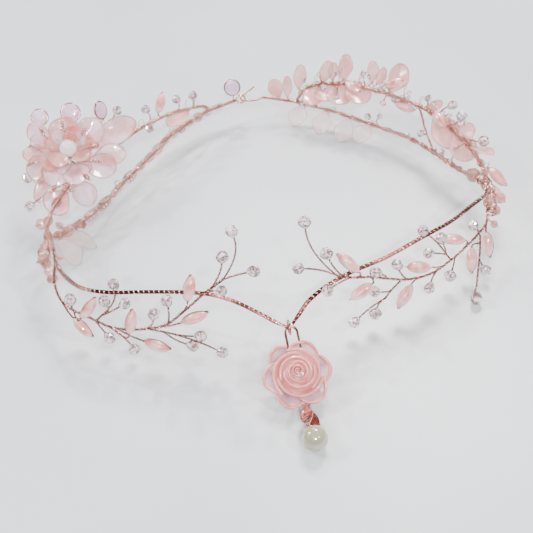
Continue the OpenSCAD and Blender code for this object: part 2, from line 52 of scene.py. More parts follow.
def add_camera():
    turn, rise, roll = math.radians(TURN), math.radians(RISE), math.radians(ROLL_ABOUT_VIEW)
    back = Vector((-math.sin(turn) * math.cos(rise), -math.cos(turn) * math.cos(rise), math.sin(rise)))
    right = (-back).cross(Vector((0, 0, 1))).normalized()
    up = right.cross(-back)
    x = right * math.cos(roll) + up * math.sin(roll)
    y = up * math.cos(roll) - right * math.sin(roll)
    data = bpy.data.cameras.new("camera")
    data.lens, data.sensor_width = 52.0, 36
    data.clip_start = 0.01
    cam = bpy.data.objects.new("camera", data)
    bpy.context.scene.collection.objects.link(cam)
    m = Matrix((x, y, back)).transposed().to_4x4()
    m.translation = CAMERA_TARGET + back * CAMERA_DISTANCE
    cam.matrix_world = m
    bpy.context.scene.camera = cam


add_camera()


# ---------------------------------------------------------------- materials
def lin(*rgb):
    """Linear colour with alpha 1, from screen values of 0 to 255."""
    return tuple(((c / 255 + 0.055) / 1.055) ** 2.4 if c > 10 else c / 3294.6 for c in rgb) + (1,)


def material(name, rgb, rough, dark=None, scale=300, rough_spread=0.0, bump=0.0, bump_scale=900, detail=3,
             **sockets):
    """Principled material, mottled from dark to rgb; sockets are set as they are named."""
    m = bpy.data.materials.new(name)
    m.use_nodes = True
    nodes, links = m.node_tree.nodes, m.node_tree.links
    b = nodes["Principled BSDF"]
    b.inputs["Base Color"].default_value = lin(*rgb)
    b.inputs["Roughness"].default_value = rough
    for key, value in sockets.items():
        b.inputs[key.replace("_", " ")].default_value = value
    coords = nodes.new("ShaderNodeTexCoord")
    if dark or rough_spread:
        n = nodes.new("ShaderNodeTexNoise")
        n.inputs["Scale"].default_value = scale
        n.inputs["Detail"].default_value = detail
        links.new(coords.outputs["Object"], n.inputs["Vector"])
    if dark:
        ramp = nodes.new("ShaderNodeValToRGB")
        ramp.color_ramp.elements[0].position, ramp.color_ramp.elements[1].position = 0.35, 0.65
        ramp.color_ramp.elements[0].color, ramp.color_ramp.elements[1].color = lin(*dark), lin(*rgb)
        links.new(n.outputs["Fac"], ramp.inputs["Fac"])
        links.new(ramp.outputs["Color"], b.inputs["Base Color"])
    if rough_spread:
        span = nodes.new("ShaderNodeMapRange")
        span.inputs["To Min"].default_value = max(rough - rough_spread, 0.01)
        span.inputs["To Max"].default_value = rough + rough_spread
        links.new(n.outputs["Fac"], span.inputs["Value"])
        links.new(span.outputs["Result"], b.inputs["Roughness"])
    if bump:
        n2 = nodes.new("ShaderNodeTexNoise")
        n2.inputs["Scale"].default_value = bump_scale
        links.new(coords.outputs["Object"], n2.inputs["Vector"])
        bp = nodes.new("ShaderNodeBump")
        bp.inputs["Strength"].default_value = bump
        bp.inputs["Distance"].default_value = 0.0003
        links.new(n2.outputs["Fac"], bp.inputs["Height"])
        links.new(bp.outputs["Normal"], b.inputs["Normal"])
    return m


ROSE_GOLD = material("rose_gold", (242, 200, 188), 0.14, dark=(216, 158, 144), scale=900, rough_spread=0.06,
                     Metallic=1.0)
ROSE_GOLD_DEEP = material("rose_gold_deep", (216, 160, 148), 0.18, dark=(176, 112, 102), scale=900,
                          rough_spread=0.08, Metallic=1.0)
# Darkened copy of the rose gold: painted shade, for the ribbon's rails and the darker strand of twists
ROSE_GOLD_SHADED = material("rose_gold_painted_shade", (136, 76, 68), 0.2, dark=(88, 42, 38), scale=700,
                          rough_spread=0.08, Metallic=1.0)
TWIG = material("rose_gold_twig", (190, 122, 114), 0.18, dark=(130, 70, 66), scale=900, rough_spread=0.08,
                Metallic=1.0)
# Near-white copy of the rose gold: painted highlight, for the bright dashes of the ribbon's wrap wire
ROSE_GOLD_HIGHLIGHT = material("rose_gold_painted_highlight", (255, 236, 230), 0.08, dark=(228, 172, 162), scale=900,
                rough_spread=0.05, Metallic=1.0)
BAIL = material("bail_cut_metal", (252, 210, 200), 0.1, dark=(190, 116, 108), scale=1100, rough_spread=0.05,
                Metallic=0.95)
CRYSTAL = material("clear_crystal", (255, 242, 242), 0.02, dark=(250, 230, 232), scale=200,
                   Transmission_Weight=0.92, IOR=1.5, Coat_Weight=0.5, Coat_Roughness=0.02)
# Darkened copy of the clear crystal: painted shade on some facets
CRYSTAL_PAINTED_SHADE = material("crystal_painted_shade", (172, 140, 140), 0.04, dark=(138, 102, 102), scale=200,
                         Transmission_Weight=0.55, IOR=1.5, Coat_Weight=0.7, Coat_Roughness=0.02)
# Near-white copy of the clear crystal: painted highlight on some facets
CRYSTAL_PAINTED_HIGHLIGHT = material("crystal_painted_highlight", (255, 246, 246), 0.05, dark=(248, 232, 234), scale=200,
                         Transmission_Weight=0.15, IOR=1.5, Coat_Weight=1.0, Coat_Roughness=0.02)
PEACH = material("peach_crystal", (252, 208, 194), 0.04, dark=(240, 180, 166), scale=200,
                 Transmission_Weight=0.7, IOR=1.5, Coat_Weight=0.6, Coat_Roughness=0.02)
# Pink pearl colour mottled with paler patches that stand in for sheen: partly the pearl's colour, partly
# painted sheen
RICE_PAINTED_SHEEN = material("pink_rice_pearl", (248, 196, 194), 0.1, dark=(222, 126, 118), scale=280, rough_spread=0.05,
                Subsurface_Weight=0.2, Subsurface_Scale=0.001, Coat_Weight=1.0, Coat_Roughness=0.03,
                Coat_IOR=2.0, Sheen_Weight=0.4, Sheen_Roughness=0.3, bump=0.35, bump_scale=420)
PETAL = material("petal_resin", (252, 224, 238), 0.13, dark=(240, 164, 156), scale=120, bump=0.5,
                 bump_scale=260, Alpha=0.76, Coat_Weight=1.0, Coat_Roughness=0.05, Coat_IOR=1.9,
                 Sheen_Weight=0.3, Subsurface_Weight=0.2, Subsurface_Scale=0.002)
PETAL_RIM = material("petal_rim", (240, 190, 186), 0.2, dark=(232, 168, 162), scale=200, Alpha=0.8,
                     Coat_Weight=1.0, Coat_Roughness=0.05)
SPRAY_PETAL = material("spray_petal_resin", (254, 204, 200), 0.13, dark=(242, 158, 148), scale=110,
                       bump=0.25, bump_scale=260, Alpha=0.62, Coat_Weight=1.0, Coat_Roughness=0.05,
                       Coat_IOR=1.9, Sheen_Weight=0.3)
SPRAY_RIM = material("spray_petal_rim", (238, 180, 172), 0.2, dark=(226, 156, 148), scale=200, Alpha=0.75,
                     Coat_Weight=1.0, Coat_Roughness=0.06)
FAINT_PETAL = material("faint_petal_resin", (246, 222, 218), 0.2, dark=(238, 206, 202), scale=90, bump=0.2,
                       bump_scale=260, Alpha=0.3, Coat_Weight=0.6, Coat_Roughness=0.1)
FAINT_RIM = material("faint_petal_rim", (240, 208, 202), 0.25, dark=(230, 188, 182), scale=200, Alpha=0.4,
                     Coat_Weight=0.4, Coat_Roughness=0.12)
HEART = material("heart_resin", (246, 184, 178), 0.16, dark=(222, 130, 120), scale=120, bump=0.2,
                 bump_scale=260, Alpha=0.88, Coat_Weight=1.0, Coat_Roughness=0.05, Subsurface_Weight=0.3,
                 Subsurface_Scale=0.002)
ROSE_VEIL = material("rose_petal_resin", (226, 192, 202), 0.08, dark=(186, 132, 144), scale=150, bump=0.45,
                     bump_scale=300, Alpha=0.84, Coat_Weight=1.0, Coat_Roughness=0.03, Coat_IOR=2.0,
                     Sheen_Weight=0.3)
# Rose resin darkened below the paler rims: partly the resin's colour, partly painted shade between the layers
ROSE_BODY_SHADED = material("rose_resin", (226, 150, 146), 0.2, dark=(206, 120, 116), scale=160, rough_spread=0.06,
                     Coat_Weight=0.8, Coat_Roughness=0.08, Subsurface_Weight=0.3, Subsurface_Scale=0.001)
ROSE_RIM = material("rose_petal_rim", (238, 156, 148), 0.14, dark=(220, 126, 120), scale=160,
                    Coat_Weight=1.0, Coat_Roughness=0.04, Subsurface_Weight=0.4, Subsurface_Scale=0.001)
ROSE_EDGE = material("rose_edge", (236, 164, 160), 0.14, dark=(222, 140, 136), scale=200, Coat_Weight=1.0,
                     Coat_Roughness=0.05, Subsurface_Weight=0.3, Subsurface_Scale=0.001)
MOON = material("moonstone", (240, 216, 236), 0.1, dark=(226, 190, 214), scale=120,
                Transmission_Weight=0.05, Coat_Weight=1.0, Coat_Roughness=0.03, Subsurface_Weight=0.4,
                Subsurface_Scale=0.003)
IVORY = material("ivory_pearl", (168, 165, 138), 0.08, dark=(148, 144, 116), scale=120, rough_spread=0.03,
                 Coat_Weight=1.0, Coat_Roughness=0.03, Coat_IOR=1.9, Subsurface_Weight=0.1,
                 Subsurface_Scale=0.001)
WHITE = material("white_pearl", (246, 238, 240), 0.18, dark=(236, 222, 226), scale=120, rough_spread=0.03,
                 Coat_Weight=1.0, Coat_Roughness=0.05, Sheen_Weight=0.3, Subsurface_Weight=0.1,
                 Subsurface_Scale=0.001)
# Cut glass: the clear glass beside a darkened copy for painted shade and a near-white copy for painted
# highlight, given out facet by facet
CUT_GLASS_PAINTED_FACETS = [CRYSTAL, CRYSTAL_PAINTED_SHADE, CRYSTAL_PAINTED_HIGHLIGHT]


# ---------------------------------------------------------------- mesh code, in millimetres
def unit(v):
    v = np.asarray(v, float)
    return v / np.linalg.norm(v)


def curve(points, step):
    """Catmull-Rom through points, with samples about step apart."""
    p = np.array(points, float)
    out = []
    for i in range(len(p) - 1):
        a, b, c, d = p[max(i - 1, 0)], p[i], p[i + 1], p[min(i + 2, len(p) - 1)]
        n = max(int(np.linalg.norm(c - b) / step), 1)
        u = (np.arange(n) / n)[:, None]
        out.append(0.5 * (2 * b + (c - a) * u + (2 * a - 5 * b + 4 * c - d) * u ** 2
                          + (3 * b - a - 3 * c + d) * u ** 3))
    out.append(p[-1:])
    return np.concatenate(out)


def on_curve(p, t):
    """Place on the Catmull-Rom curve through p, with t from 0 at its start to 1 at its end."""
    n = len(p) - 1
    i = min(int(math.floor(t * n)), n - 1)
    u = t * n - i
    a, b, c, d = (np.array(p[k], float) for k in (max(i - 1, 0), i, i + 1, min(i + 2, n)))
    return 0.5 * (2 * b + (c - a) * u + (2 * a - 5 * b + 4 * c - d) * u ** 2
                  + (3 * b - a - 3 * c + d) * u ** 3)


def nearest(routes, p):
    """Place on the routes that lies nearest to p."""
    return min((on_curve(route, t) for route in routes for t in np.linspace(0, 1, 90)),
               key=lambda q: np.linalg.norm(q - p))


def frames(path, closed=False):
    """Tangent, side and up at each point, carried along without twisting."""
    t = np.roll(path, -1, 0) - np.roll(path, 1, 0) if closed else np.gradient(path, axis=0)
    t /= np.linalg.norm(t, axis=1)[:, None] + 1e-12
    s = np.empty_like(path)
    last = np.cross(t[0], [0, 0, 1] if abs(t[0][2]) < 0.9 else [1, 0, 0])
    for i in range(len(path)):
        last = last - (last @ t[i]) * t[i]
        last /= np.linalg.norm(last)
        s[i] = last
    return t, s, np.cross(t, s)


class Shape:
    """Collects surfaces and turns them into one object."""

    def __init__(self):
        self.v, self.f, self.m, self.n = [], [], [], 0

    def add(self, verts, faces, slot=0):
        self.v.append(np.asarray(verts, float).reshape(-1, 3))
        self.f.extend([tuple(i + self.n for i in f) for f in faces])
        self.m.extend([slot] * len(faces))
        self.n += len(self.v[-1])

    def grid(self, points, slot=0, wrap=False, caps=False, flip=False):
        """Quads over a rows x columns net of points; wrap joins the last column to the first."""
        p = np.asarray(points, float)
        rows, cols = p.shape[:2]
        last = cols if wrap else cols - 1
        faces = []
        for i in range(rows - 1):
            for j in range(last):
                k = (j + 1) % cols
                q = (i * cols + j, i * cols + k, (i + 1) * cols + k, (i + 1) * cols + j)
                faces.append(q[::-1] if flip else q)
        if caps:
            faces.append(tuple(range(cols))[::-1])
            faces.append(tuple((rows - 1) * cols + j for j in range(cols)))
        self.add(p, faces, slot)

    def tube(self, path, r, sides=8, slot=0, closed=False):
        path = np.asarray(path, float)
        _, s, u = frames(path, closed)
        r = np.broadcast_to(np.asarray(r, float), (len(path),))
        if closed:
            path, s, u, r = (np.concatenate([a, a[:1]]) for a in (path, s, u, r))
        a = 2 * np.pi * np.arange(sides) / sides
        ring = s[:, None] * np.cos(a)[None, :, None] + u[:, None] * np.sin(a)[None, :, None]
        self.grid(path[:, None] + ring * r[:, None, None], slot, wrap=True, caps=not closed)

    def rope(self, path, strand_r, pitch, strands=2, offset=None, sides=6, phase=0.0, slot=0, wobble=0.0,
             shaded_strands=False):
        """Strands laid round a path, one turn every pitch; on request every other strand takes the next slot,
        a lighter copy of the same metal, so the twist shows painted shade and painted light strand by strand.
        """
        path = np.asarray(path, float)
        _, s, u = frames(path)
        along = np.concatenate([[0], np.cumsum(np.linalg.norm(np.diff(path, axis=0), axis=1))])
        off = strand_r if offset is None else offset
        a = 2 * np.pi * np.arange(sides) / sides
        ring = (s[:, None] * np.cos(a)[None, :, None] + u[:, None] * np.sin(a)[None, :, None]) * strand_r
        for k in range(strands):
            extra = wobble * np.sin(along * 1.7 + k * 2.1) * np.cos(along * 0.61 + k)
            turn = 2 * np.pi * (along / pitch + k / strands) + phase + extra * 2
            c = path + (s * np.cos(turn)[:, None] + u * np.sin(turn)[:, None]) * (off * (1 + extra))[:, None]
            self.grid(c[:, None] + ring, slot + (k % 2 if shaded_strands else 0), wrap=True, caps=True)

    def lathe(self, centre, axis, profile, sides=24, squash=1.0, across=None):
        """Profile points are (radius, height) along axis."""
        z = unit(axis)
        x = unit(np.cross(z, across if across is not None else ([0, 0, 1] if abs(z[2]) < 0.9 else [1, 0, 0])))
        y = np.cross(z, x)
        a = 2 * np.pi * np.arange(sides) / sides
        ring = x[None] * np.cos(a)[:, None] + y[None] * np.sin(a)[:, None] * squash
        prof = np.array(profile, float)
        rise, reach = prof[:, 1][:, None, None], prof[:, 0][:, None, None]
        self.grid(np.asarray(centre, float) + rise * z + reach * ring[None], wrap=True, caps=True)

    def facets(self, centre, axis, d, segs=8, painted_facets=False):
        """Cut bead: staggered bands of flat facets round its hole; on request each facet takes at random one
        of the clear glass, its painted-shade copy and its painted-highlight copy.
        """
        levels = [18, 50, 76, 104, 130, 162]
        z = unit(axis)
        x = unit(np.cross(z, [0.3, 0.2, 1] if abs(z[2]) < 0.9 else [1, 0, 0.1]))
        y = np.cross(z, x)
        turn = rng.random() * 6.28
        v = []
        for k, lat in enumerate(levels):
            for j in range(segs):
                a = turn + 2 * math.pi * (j + 0.5 * (k % 2)) / segs
                lr = math.radians(lat)
                v.append(np.asarray(centre) + d / 2 * (z * math.cos(lr) + math.sin(lr)
                                                       * (x * math.cos(a) + y * math.sin(a))))
        f = [tuple(range(segs)), tuple(range((len(levels) - 1) * segs, len(levels) * segs))[::-1]]
        for k in range(len(levels) - 1):
            for j in range(segs):
                a, b = k * segs + j, k * segs + (j + 1) % segs
                c, e = a + segs, b + segs
                f += [(b, a, c), (b, c, e)] if k % 2 == 0 else [(a, c, e), (b, a, e)]
        self.add(v, f)
        if painted_facets:
            # Painted shade and painted highlight: each facet takes one of the three glasses at random
            self.m[-len(f):] = [rng.choices((0, 1, 2), (6, 2, 3))[0] for _ in f]

    def make(self, name, mats, nodes=(), body="crown", smooth=True, slot=None):
        """The object, in metres, riding on body and standing for the CAD nodes listed."""
        me = bpy.data.meshes.new(name)
        v = np.concatenate(self.v) * MM
        me.from_pydata(v.tolist(), [], self.f)
        me.polygons.foreach_set("use_smooth", [smooth] * len(self.f))
        me.polygons.foreach_set("material_index", self.m)
        for m in mats:
            me.materials.append(m)
        me.validate()
        o = bpy.data.objects.new(name, me)
        bpy.context.scene.collection.objects.link(o)
        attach(o, body)
        if nodes:
            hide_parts(*nodes)
        return o


# ---------------------------------------------------------------- routes, as in the CAD, in millimetres
BAND_L = [(-4, -88, 14), (-8, -86, 15.5), (-13, -83, 18), (-20, -79, 21), (-28, -76, 23.5), (-38, -73, 24),
          (-50, -70, 24), (-61, -67, 23.5), (-70, -62, 23), (-76, -53, 21.5), (-79.5, -44, 20),
          (-82, -32, 17)]
BAND_R = [(-4, -88, 14), (0, -84, 15.5), (4, -81, 18), (11, -78, 20.5), (20, -76, 23), (32, -73, 24),
          (46, -66.5, 24), (60, -59, 23), (71, -51, 22), (78, -45, 20.5), (83, -37, 18)]
LOWER_L = [(-82, -32, 17), (-83.5, -22, 14.5), (-78, -15.5, 12), (-67, -2, 10), (-54, 20, 8), (-43, 35, 8),
           (-34, 48, 8), (-24, 56, 9), (-13, 63, 10), (0, 66, 11.5)]
LOWER_R = [(83, -37, 18), (83.5, -28, 15), (82, -20, 13), (79, -9, 11), (76, 2, 10), (69, 18, 9),
           (57, 34, 8), (43, 50, 8), (28, 61, 9), (13, 65.5, 11.5)]
UPPER_L = [(-82, -32, 17), (-84.5, -20, 17.5), (-82, -8, 19), (-74, 5, 21), (-62, 18, 22), (-47, 34, 22),
           (-34, 45, 21), (-26, 51, 19), (-17, 59, 15), (-13, 63, 10)]
UPPER_R = [(83, -37, 18), (85.5, -27, 19), (85.5, -14, 20), (83, -1, 21), (78, 14, 22), (69, 29, 22),
           (58, 41, 22), (47, 52, 20.5), (34, 59, 17), (28, 61, 9)]
STRUT = [(74.5, 20, 22), (76, 19, 17), (76.5, 15, 13), (76, 2, 10)]
HOOK = [(13, 65.5, 11.5), (10, 64.5, 11), (6.5, 64.3, 11.2), (3.4, 65.2, 11.6), (2.4, 66.8, 11.8),
        (3.6, 68.4, 12.2), (6.5, 69, 13.5), (9.5, 68.6, 16)]
STEMS_L = [
    [(-80, -43, 20), (-81, -50, 16), (-78, -58, 13), (-70, -65, 12), (-62, -71, 11), (-53, -75, 12),
     (-44, -78, 15), (-37, -77, 19), (-30, -77, 25), (-23, -77, 30)],
    [(-67, -67, 12), (-65, -68.5, 15)],
    [(-50, -76, 12.5), (-45, -79, 13)]]
STEMS_R = [
    [(81, -41, 19), (78, -50, 17.5), (75, -56, 16), (67, -62, 14), (58, -68, 13), (49, -73, 13),
     (40, -75, 14), (32, -77, 18), (26, -78, 21), (20, -79, 23), (14, -80, 26)],
    [(72, -59, 15), (71, -63, 10), (68, -70, 6), (66, -74.5, 4)],
    [(37, -76, 15), (33, -78, 13), (31, -79, 11)],
    [(58, -68, 13), (56, -68, 16)]]
# Beads on twigs: stem, place along it, centre, way it points and, at the back, its diameter
CRYSTALS_L = [
    (0, 1, (-18, -68, 42), (-2, 3, 8)), (0, 0.93, (-22, -74, 37), (1, 1, 4)),
    (0, 1, (-13, -80, 34), (4, -1, 1)), (0, 0.86, (-24, -78, 26), (4, 0, -1)),
    (0, 0.68, (-42, -76.5, 24.5), (0, 1, 3)), (0, 0.58, (-47, -75, 18), (1, 1, 3)),
    (1, 1, (-59, -65, 25), (0, 1, 3)), (1, 1, (-63, -67.5, 20.5), (-1, 1, 3)),
    (1, 1, (-56, -71, 21), (4, 0, 2)), (2, 1, (-33, -83, 12), (4, -1, 0)),
    (2, 1, (-27, -89, 9), (4, -3, -1)), (2, 1, (-36, -83, 8), (3, -1, -1)),
    (0, 0.42, (-56, -77, 5), (2, -2, -3)), (0, 0.36, (-64, -71, 6), (2, -2, -3)),
    (0, 0.22, (-75, -61, 18), (0, 1, 2))]
RICES_L = [
    (0, 0.76, (-34, -76.5, 28), (1, 1, 3)), (0, 0.63, (-34, -80, 18), (4, 0, 1)),
    (0, 0.44, (-55, -75, 16), (1, 1, 3)), (0, 0.46, (-48, -80, 8), (4, -2, -1)),
    (0, 0.27, (-69, -66, 17), (3, 1, 3)), (0, 0.2, (-73, -65, 7.5), (2, -2, -2))]
CRYSTALS_R = [
    (0, 1, (6, -68, 41), (0, 3, 8)), (0, 0.96, (11, -77, 34), (-1, 1, 3)),
    (0, 1, (1, -81, 33), (-4, 0, 1)), (0, 0.92, (10, -83, 23), (-3, -2, 0)),
    (2, 0.5, (27, -79, 15), (-3, 0, 1)), (0, 0.72, (27, -78.7, 23.5), (-3, 1, 1)),
    (0, 0.6, (36, -74, 21), (-1, 1, 3)), (2, 1, (19, -83, 6), (-3, -1, -2)),
    (2, 1, (27, -81, 6), (-1, -1, -3)), (0, 0.47, (48, -75, 8), (-1, -1, -3)),
    (0, 0.38, (58, -69, 6), (-1, -1, -3)), (3, 1, (47, -67, 28), (-3, 1, 3)),
    (3, 1, (54.3, -65.8, 22.3), (-1, 1, 3)), (3, 1, (49, -69, 19), (-4, 0, 1)),
    (0, 0.27, (69, -58, 19), (-2, 2, 2)), (1, 0.45, (72, -68, 5), (2, -2, -3))]
RICES_R = [
    (0, 0.9, (18, -79, 30), (-3, 2, 3)), (0, 0.8, (22, -80.5, 17.5), (-3, -1, -1)),
    (0, 0.54, (38, -78, 9.5), (-3, -2, -3)), (0, 0.44, (44, -74, 18), (-4, 0, 1)),
    (0, 0.34, (60, -64, 19), (-3, 0, 1)), (0, 0.16, (75, -60, 10), (0, -2, -3)),
    (1, 0.2, (67, -65, 8.5), (-1, -3, -3))]
BACK_L = [
    (0, 0.6, (-42, 41, 28), (-1, 0, 2)), (0, 0.64, (-42, 43, 17), (-1, 1, -3)),
    (0, 0.72, (-28, 52, 24.5), (-1, 1, 3)), (0, 0.82, (-20, 60, 21), (0, 1, 3)),
    (0, 0.34, (-94, 5, 12), (-3, 0, -2), 4.4), (0, 0.36, (-94.5, 18, 17), (-4, 0, -1), 4.2),
    (0, 0.5, (-53, 33, 34), (2, 1, 2), 3.6)]
BACK_R = [
    (1, 0.79, (44, 43.5, 18.5), (-1, -3, -1), 2.6), (1, 0.78, (39, 49, 21.5), (-2, -2, 0), 3),
    (1, 0.68, (57, 47, 27), (0, 2, 3), 2.6), (1, 0.6, (62, 32, 18.5), (-1, -1, -2), 2.6),
    (1, 0.58, (68, 35, 18), (0, 1, -3), 2.6), (1, 0.46, (79, 22, 24.5), (0, 1, 3), 3),
    (1, 0.42, (86, 11, 26), (4, 0, 1)), (1, 0.37, (88, 5, 24), (2, 1, 2), 4.8),
    (1, 0.3, (88.5, -17.5, 25.5), (2, -4, 2), 4.4), (1, 0.27, (80, -11, 19.5), (-2, 0, -1), 2.6),
    (2, 0.72, (73.5, 13, 13), (-2, 0, 1), 3), (3, 0.62, (55, 31, 14), (-1, 0, 3), 3),
    (3, 0.635, (61, 33, 12), (2, 1, 2), 2.6), (3, 0.41, (77, -4.4, 14), (0, -2, 1), 2.6),
    (3, 0.345, (82, -7, 13.5), (2, 0, 2), 2.6), (3, 0.9, (31, 55, 11), (2, -3, 1))]
BACK_RICES = [
    (0, 0.68, (-35, 46, 27), (1, 1, 2)), (1, 0.74, (51, 43, 23), (2, -3, -1)),
    (1, 0.56, (67, 34, 27), (3, -1, 1)), (1, 0.52, (70.5, 27, 18.5), (3, -2, -1)),
    (1, 0.42, (78, 4, 24.5), (1, -3, -1)), (1, 0.1, (88.5, -33, 19), (2, -3, -2))]
# Petals: root, tip, way the face looks, width
FLOWER_PETALS = [
    ((-75, 20, 28), (-75, 28, 37), (0, -3, 2), 12), ((-70, 19, 28), (-61, 26, 35), (1, -3, 3), 10),
    ((-66, 19, 26), (-47, 33, 28), (1, -3, 4), 10), ((-66, 15, 24), (-52, 16, 23), (1, -3, 4), 9),
    ((-68, 15, 24.5), (-58, 8, 19), (1, -3, 4), 11), ((-73, 12, 25), (-71, 0.5, 21.5), (0, -4, 3), 10),
    ((-77, 14, 25), (-84, 8, 18), (-1, -3, 3), 11), ((-80, 16, 24.5), (-93, 16, 20), (-1, -3, 3), 10),
    ((-81, 20, 26), (-94, 22, 26), (-1, -3, 3), 7), ((-81, 24, 27), (-91, 35, 31), (-1, -3, 3), 8),
    ((-80, 21.5, 27), (-90, 27, 29.5), (-2, -3, 2), 7), ((-83, 14, 19), (-91, 7, 12), (-1, -3, 3), 7),
    ((-77, 0.8, 19.6), (-85, -3, 13), (0, -3, 4), 11), ((-73, 6.5, 20.3), (-69, -1, 12), (1, -3, 3), 9)]
HEART_PETALS = [
    ((-70, 17, 28.5), (-63, 14, 30), (1, -3, 4), 8), ((-75.5, 13, 30), (-80, 8, 27), (-1, -3, 4), 8),
    ((-78, 17, 30), (-83, 18, 33.5), (-2, -3, 3), 6), ((-73, 19, 31), (-69, 21, 36), (1, -3, 2), 8),
    ((-71, 14, 29), (-68, 8.5, 27), (1, -3, 4), 7), ((-76.5, 19, 30.5), (-77, 22, 35.5), (-1, -3, 2), 6)]
SPRAY = [
    ((29, 58, 17), (31, 61, 28), (0, -3, 1), 5.5), ((40, 57.5, 18.5), (44, 59, 29), (0, -3, 1), 5.5),
    ((45, 56.5, 20), (46, 59, 28), (0, -3, 1), 4.5), ((50, 54, 20.5), (52, 59, 31), (0, -3, 1), 6),
    ((61, 46, 21.5), (62, 51, 30), (1, -3, 1), 5.5), ((62.5, 44, 21.5), (67, 48, 27.5), (1, -3, 1), 5),
    ((24, 60, 12), (25, 65, 21), (0, -3, 1), 4), ((20.5, 62.5, 11.5), (18, 66.5, 19.5), (0, -3, 1), 6.5),
    ((32, 58, 16.5), (37, 50, 12.5), (0, -2, 3), 10), ((38, 57, 18), (43, 48, 14.5), (0, -2, 3), 11),
    ((45, 54, 19.5), (47, 43, 14), (0, -2, 3), 12), ((50, 51, 20.5), (57, 39, 16), (0, -2, 3), 11),
    ((66, 36, 21.5), (75, 45, 29), (1, -3, 2), 9), ((77, 17, 22), (83, 15, 26), (0, -3, 2), 4),
    ((78.5, 12, 21.5), (84, -2, 13), (-1, -2, 3), 11),
    ((82.5, -2, 20.5), (86, -13, 13.5), (-1, -2, 3), 10),
    ((83, -5, 20.5), (89.5, -4, 24.5), (0, -3, 2), 6),
    ((85.5, -13.5, 20.9), (88.5, -25.5, 23.5), (1, -2, 3), 7),
    ((83.4, -30, 15.5), (90, -37, 9), (1, -2, 3), 6), ((-23, 54, 17), (-34, 45, 15.5), (0, -3, 4), 7)]
CORNER = [
    ((-80, -17, 12), (-78, -5, 4.5), (-1, -1, 3), 6), ((-80.5, -18, 12.5), (-70, -12, 0), (0, -1, 3), 8),
    ((-82, -21, 13.5), (-76, -21, 0), (2, -2, 3), 8)]
UNDER = [
    ((57, 34, 7.5), (49, 29, 2.5), (0, -1, 3), 8), ((49.5, 42.5, 7.2), (43, 35, 0), (0, -1, 3), 8),
    ((41, 51.5, 7.5), (35, 44, 0), (0, -1, 3), 8), ((31, 59, 8), (25, 52, 1.5), (0, -1, 3), 8)]
# Discs: centre, way the face looks, diameter
DISCS = [
    ((-86, 38, 33), (0, -3, 2), 6.6), ((-72, 31, 37), (0, -3, 2), 7.6), ((-60, 33, 35), (3, -2, 1), 7),
    ((-1, 68, 17.5), (0, -3, 1), 7.2)]
CRYSTAL_D, RICE_L, RICE_D = 4.0, 9.0, 4.2


def islands(node):
    """Centre and box size of each separate solid of a CAD node, in millimetres."""
    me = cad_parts[node].data
    parent = list(range(len(me.vertices)))

    def root(i):
        while parent[i] != i:
            parent[i] = parent[parent[i]]
            i = parent[i]
        return i
    at = {}
    for v in me.vertices:
        key = tuple(round(c * 1e6) for c in v.co)
        parent[root(v.index)] = root(at.setdefault(key, v.index))
    for e in me.edges:
        parent[root(e.vertices[0])] = root(e.vertices[1])
    groups = {}
    for v in me.vertices:
        groups.setdefault(root(v.index), []).append(v.co)
    out = []
    for g in groups.values():
        a = np.array(g) / MM
        out.append(((a.min(0) + a.max(0)) / 2, a.max(0) - a.min(0)))
    return sorted(out, key=lambda s: tuple(s[0]))


# ---------------------------------------------------------------- band wires
def ribbon(name, route, node):
    """Two rails side by side over a pale core, bound together by a fine wire; the rails carry painted shade
    and the fine wire painted highlight.
    """
    path = curve(route, 0.12)
    _, side, up = frames(path)
    s = Shape()
    along = np.concatenate([[0], np.cumsum(np.linalg.norm(np.diff(path, axis=0), axis=1))])
    slim = np.clip(0.68 + (along - 3) * 0.12, 0.68, 1)
    wide = side * slim[:, None]
    for k in (-1, 1):
        s.tube(path + wide * 0.52 * k, 0.28 * slim, 7)
    s.tube(path + up * 0.05, 0.3, 7, 1)
    turn = (2 * np.pi * along / 1.7)[:, None]
    s.tube(path + wide * np.cos(turn) * 0.78 + up * np.sin(turn) * 0.44, 0.15 * slim, 6, 2)
    s.make(name, [ROSE_GOLD_SHADED, TWIG, ROSE_GOLD_HIGHLIGHT], [node])


def coil(shape, path, start, length, r, turns, wire_r=0.14, lean=0.0, slot=0):
    """Turns of wire round a stretch of a route, wider at the middle of the stretch."""
    n = int(turns * 14)
    at_t = np.clip(start + length * (np.linspace(0, 1, n) - 0.5), 0, 1)
    mid = np.array([on_curve(path, x) for x in at_t])
    _, side, up = frames(mid)
    a = (np.linspace(0, 1, n) * turns * 2 * np.pi + lean)[:, None]
    swell = (0.7 + 0.3 * np.sin(np.linspace(0, np.pi, n)))[:, None] * r
    shape.tube(mid + (side * np.cos(a) + up * np.sin(a)) * swell, wire_r, 6, slot)


def loop(shape, foot, lean, high, wide, wire_r=0.16, slot=0):
    """Open oval of wire that stands on a wire and comes back to it."""
    up, out = unit(lean), unit(np.cross(lean, (0.35, -1, 0.4)))
    a = np.linspace(-0.5 * np.pi, 1.5 * np.pi, 40)[:-1, None]
    shape.tube(np.asarray(foot, float) + up * high / 2 * (1 + np.sin(a)) + out * wide / 2 * np.cos(a),
               wire_r, 6, slot, closed=True)


def back_rope(route, loose):
    """Thick twist of a back wire, with finer wires wound loosely over it."""
    path = curve(route, 0.2)
    s = Shape()
    s.rope(path, 0.3, 3.2, strands=4, offset=0.36, sides=7, shaded_strands=True)
    s.rope(path, 0.15, 3.1, strands=2, offset=0.78, sides=6, phase=0.4, wobble=loose, slot=1)
    s.rope(path, 0.12, 1.7, strands=1, offset=0.74, sides=5, phase=2.4, wobble=loose)
    return s


ribbon("front_band_ribbon_left", BAND_L, "front_band_left")
ribbon("front_band_ribbon_right", BAND_R, "front_band_right")

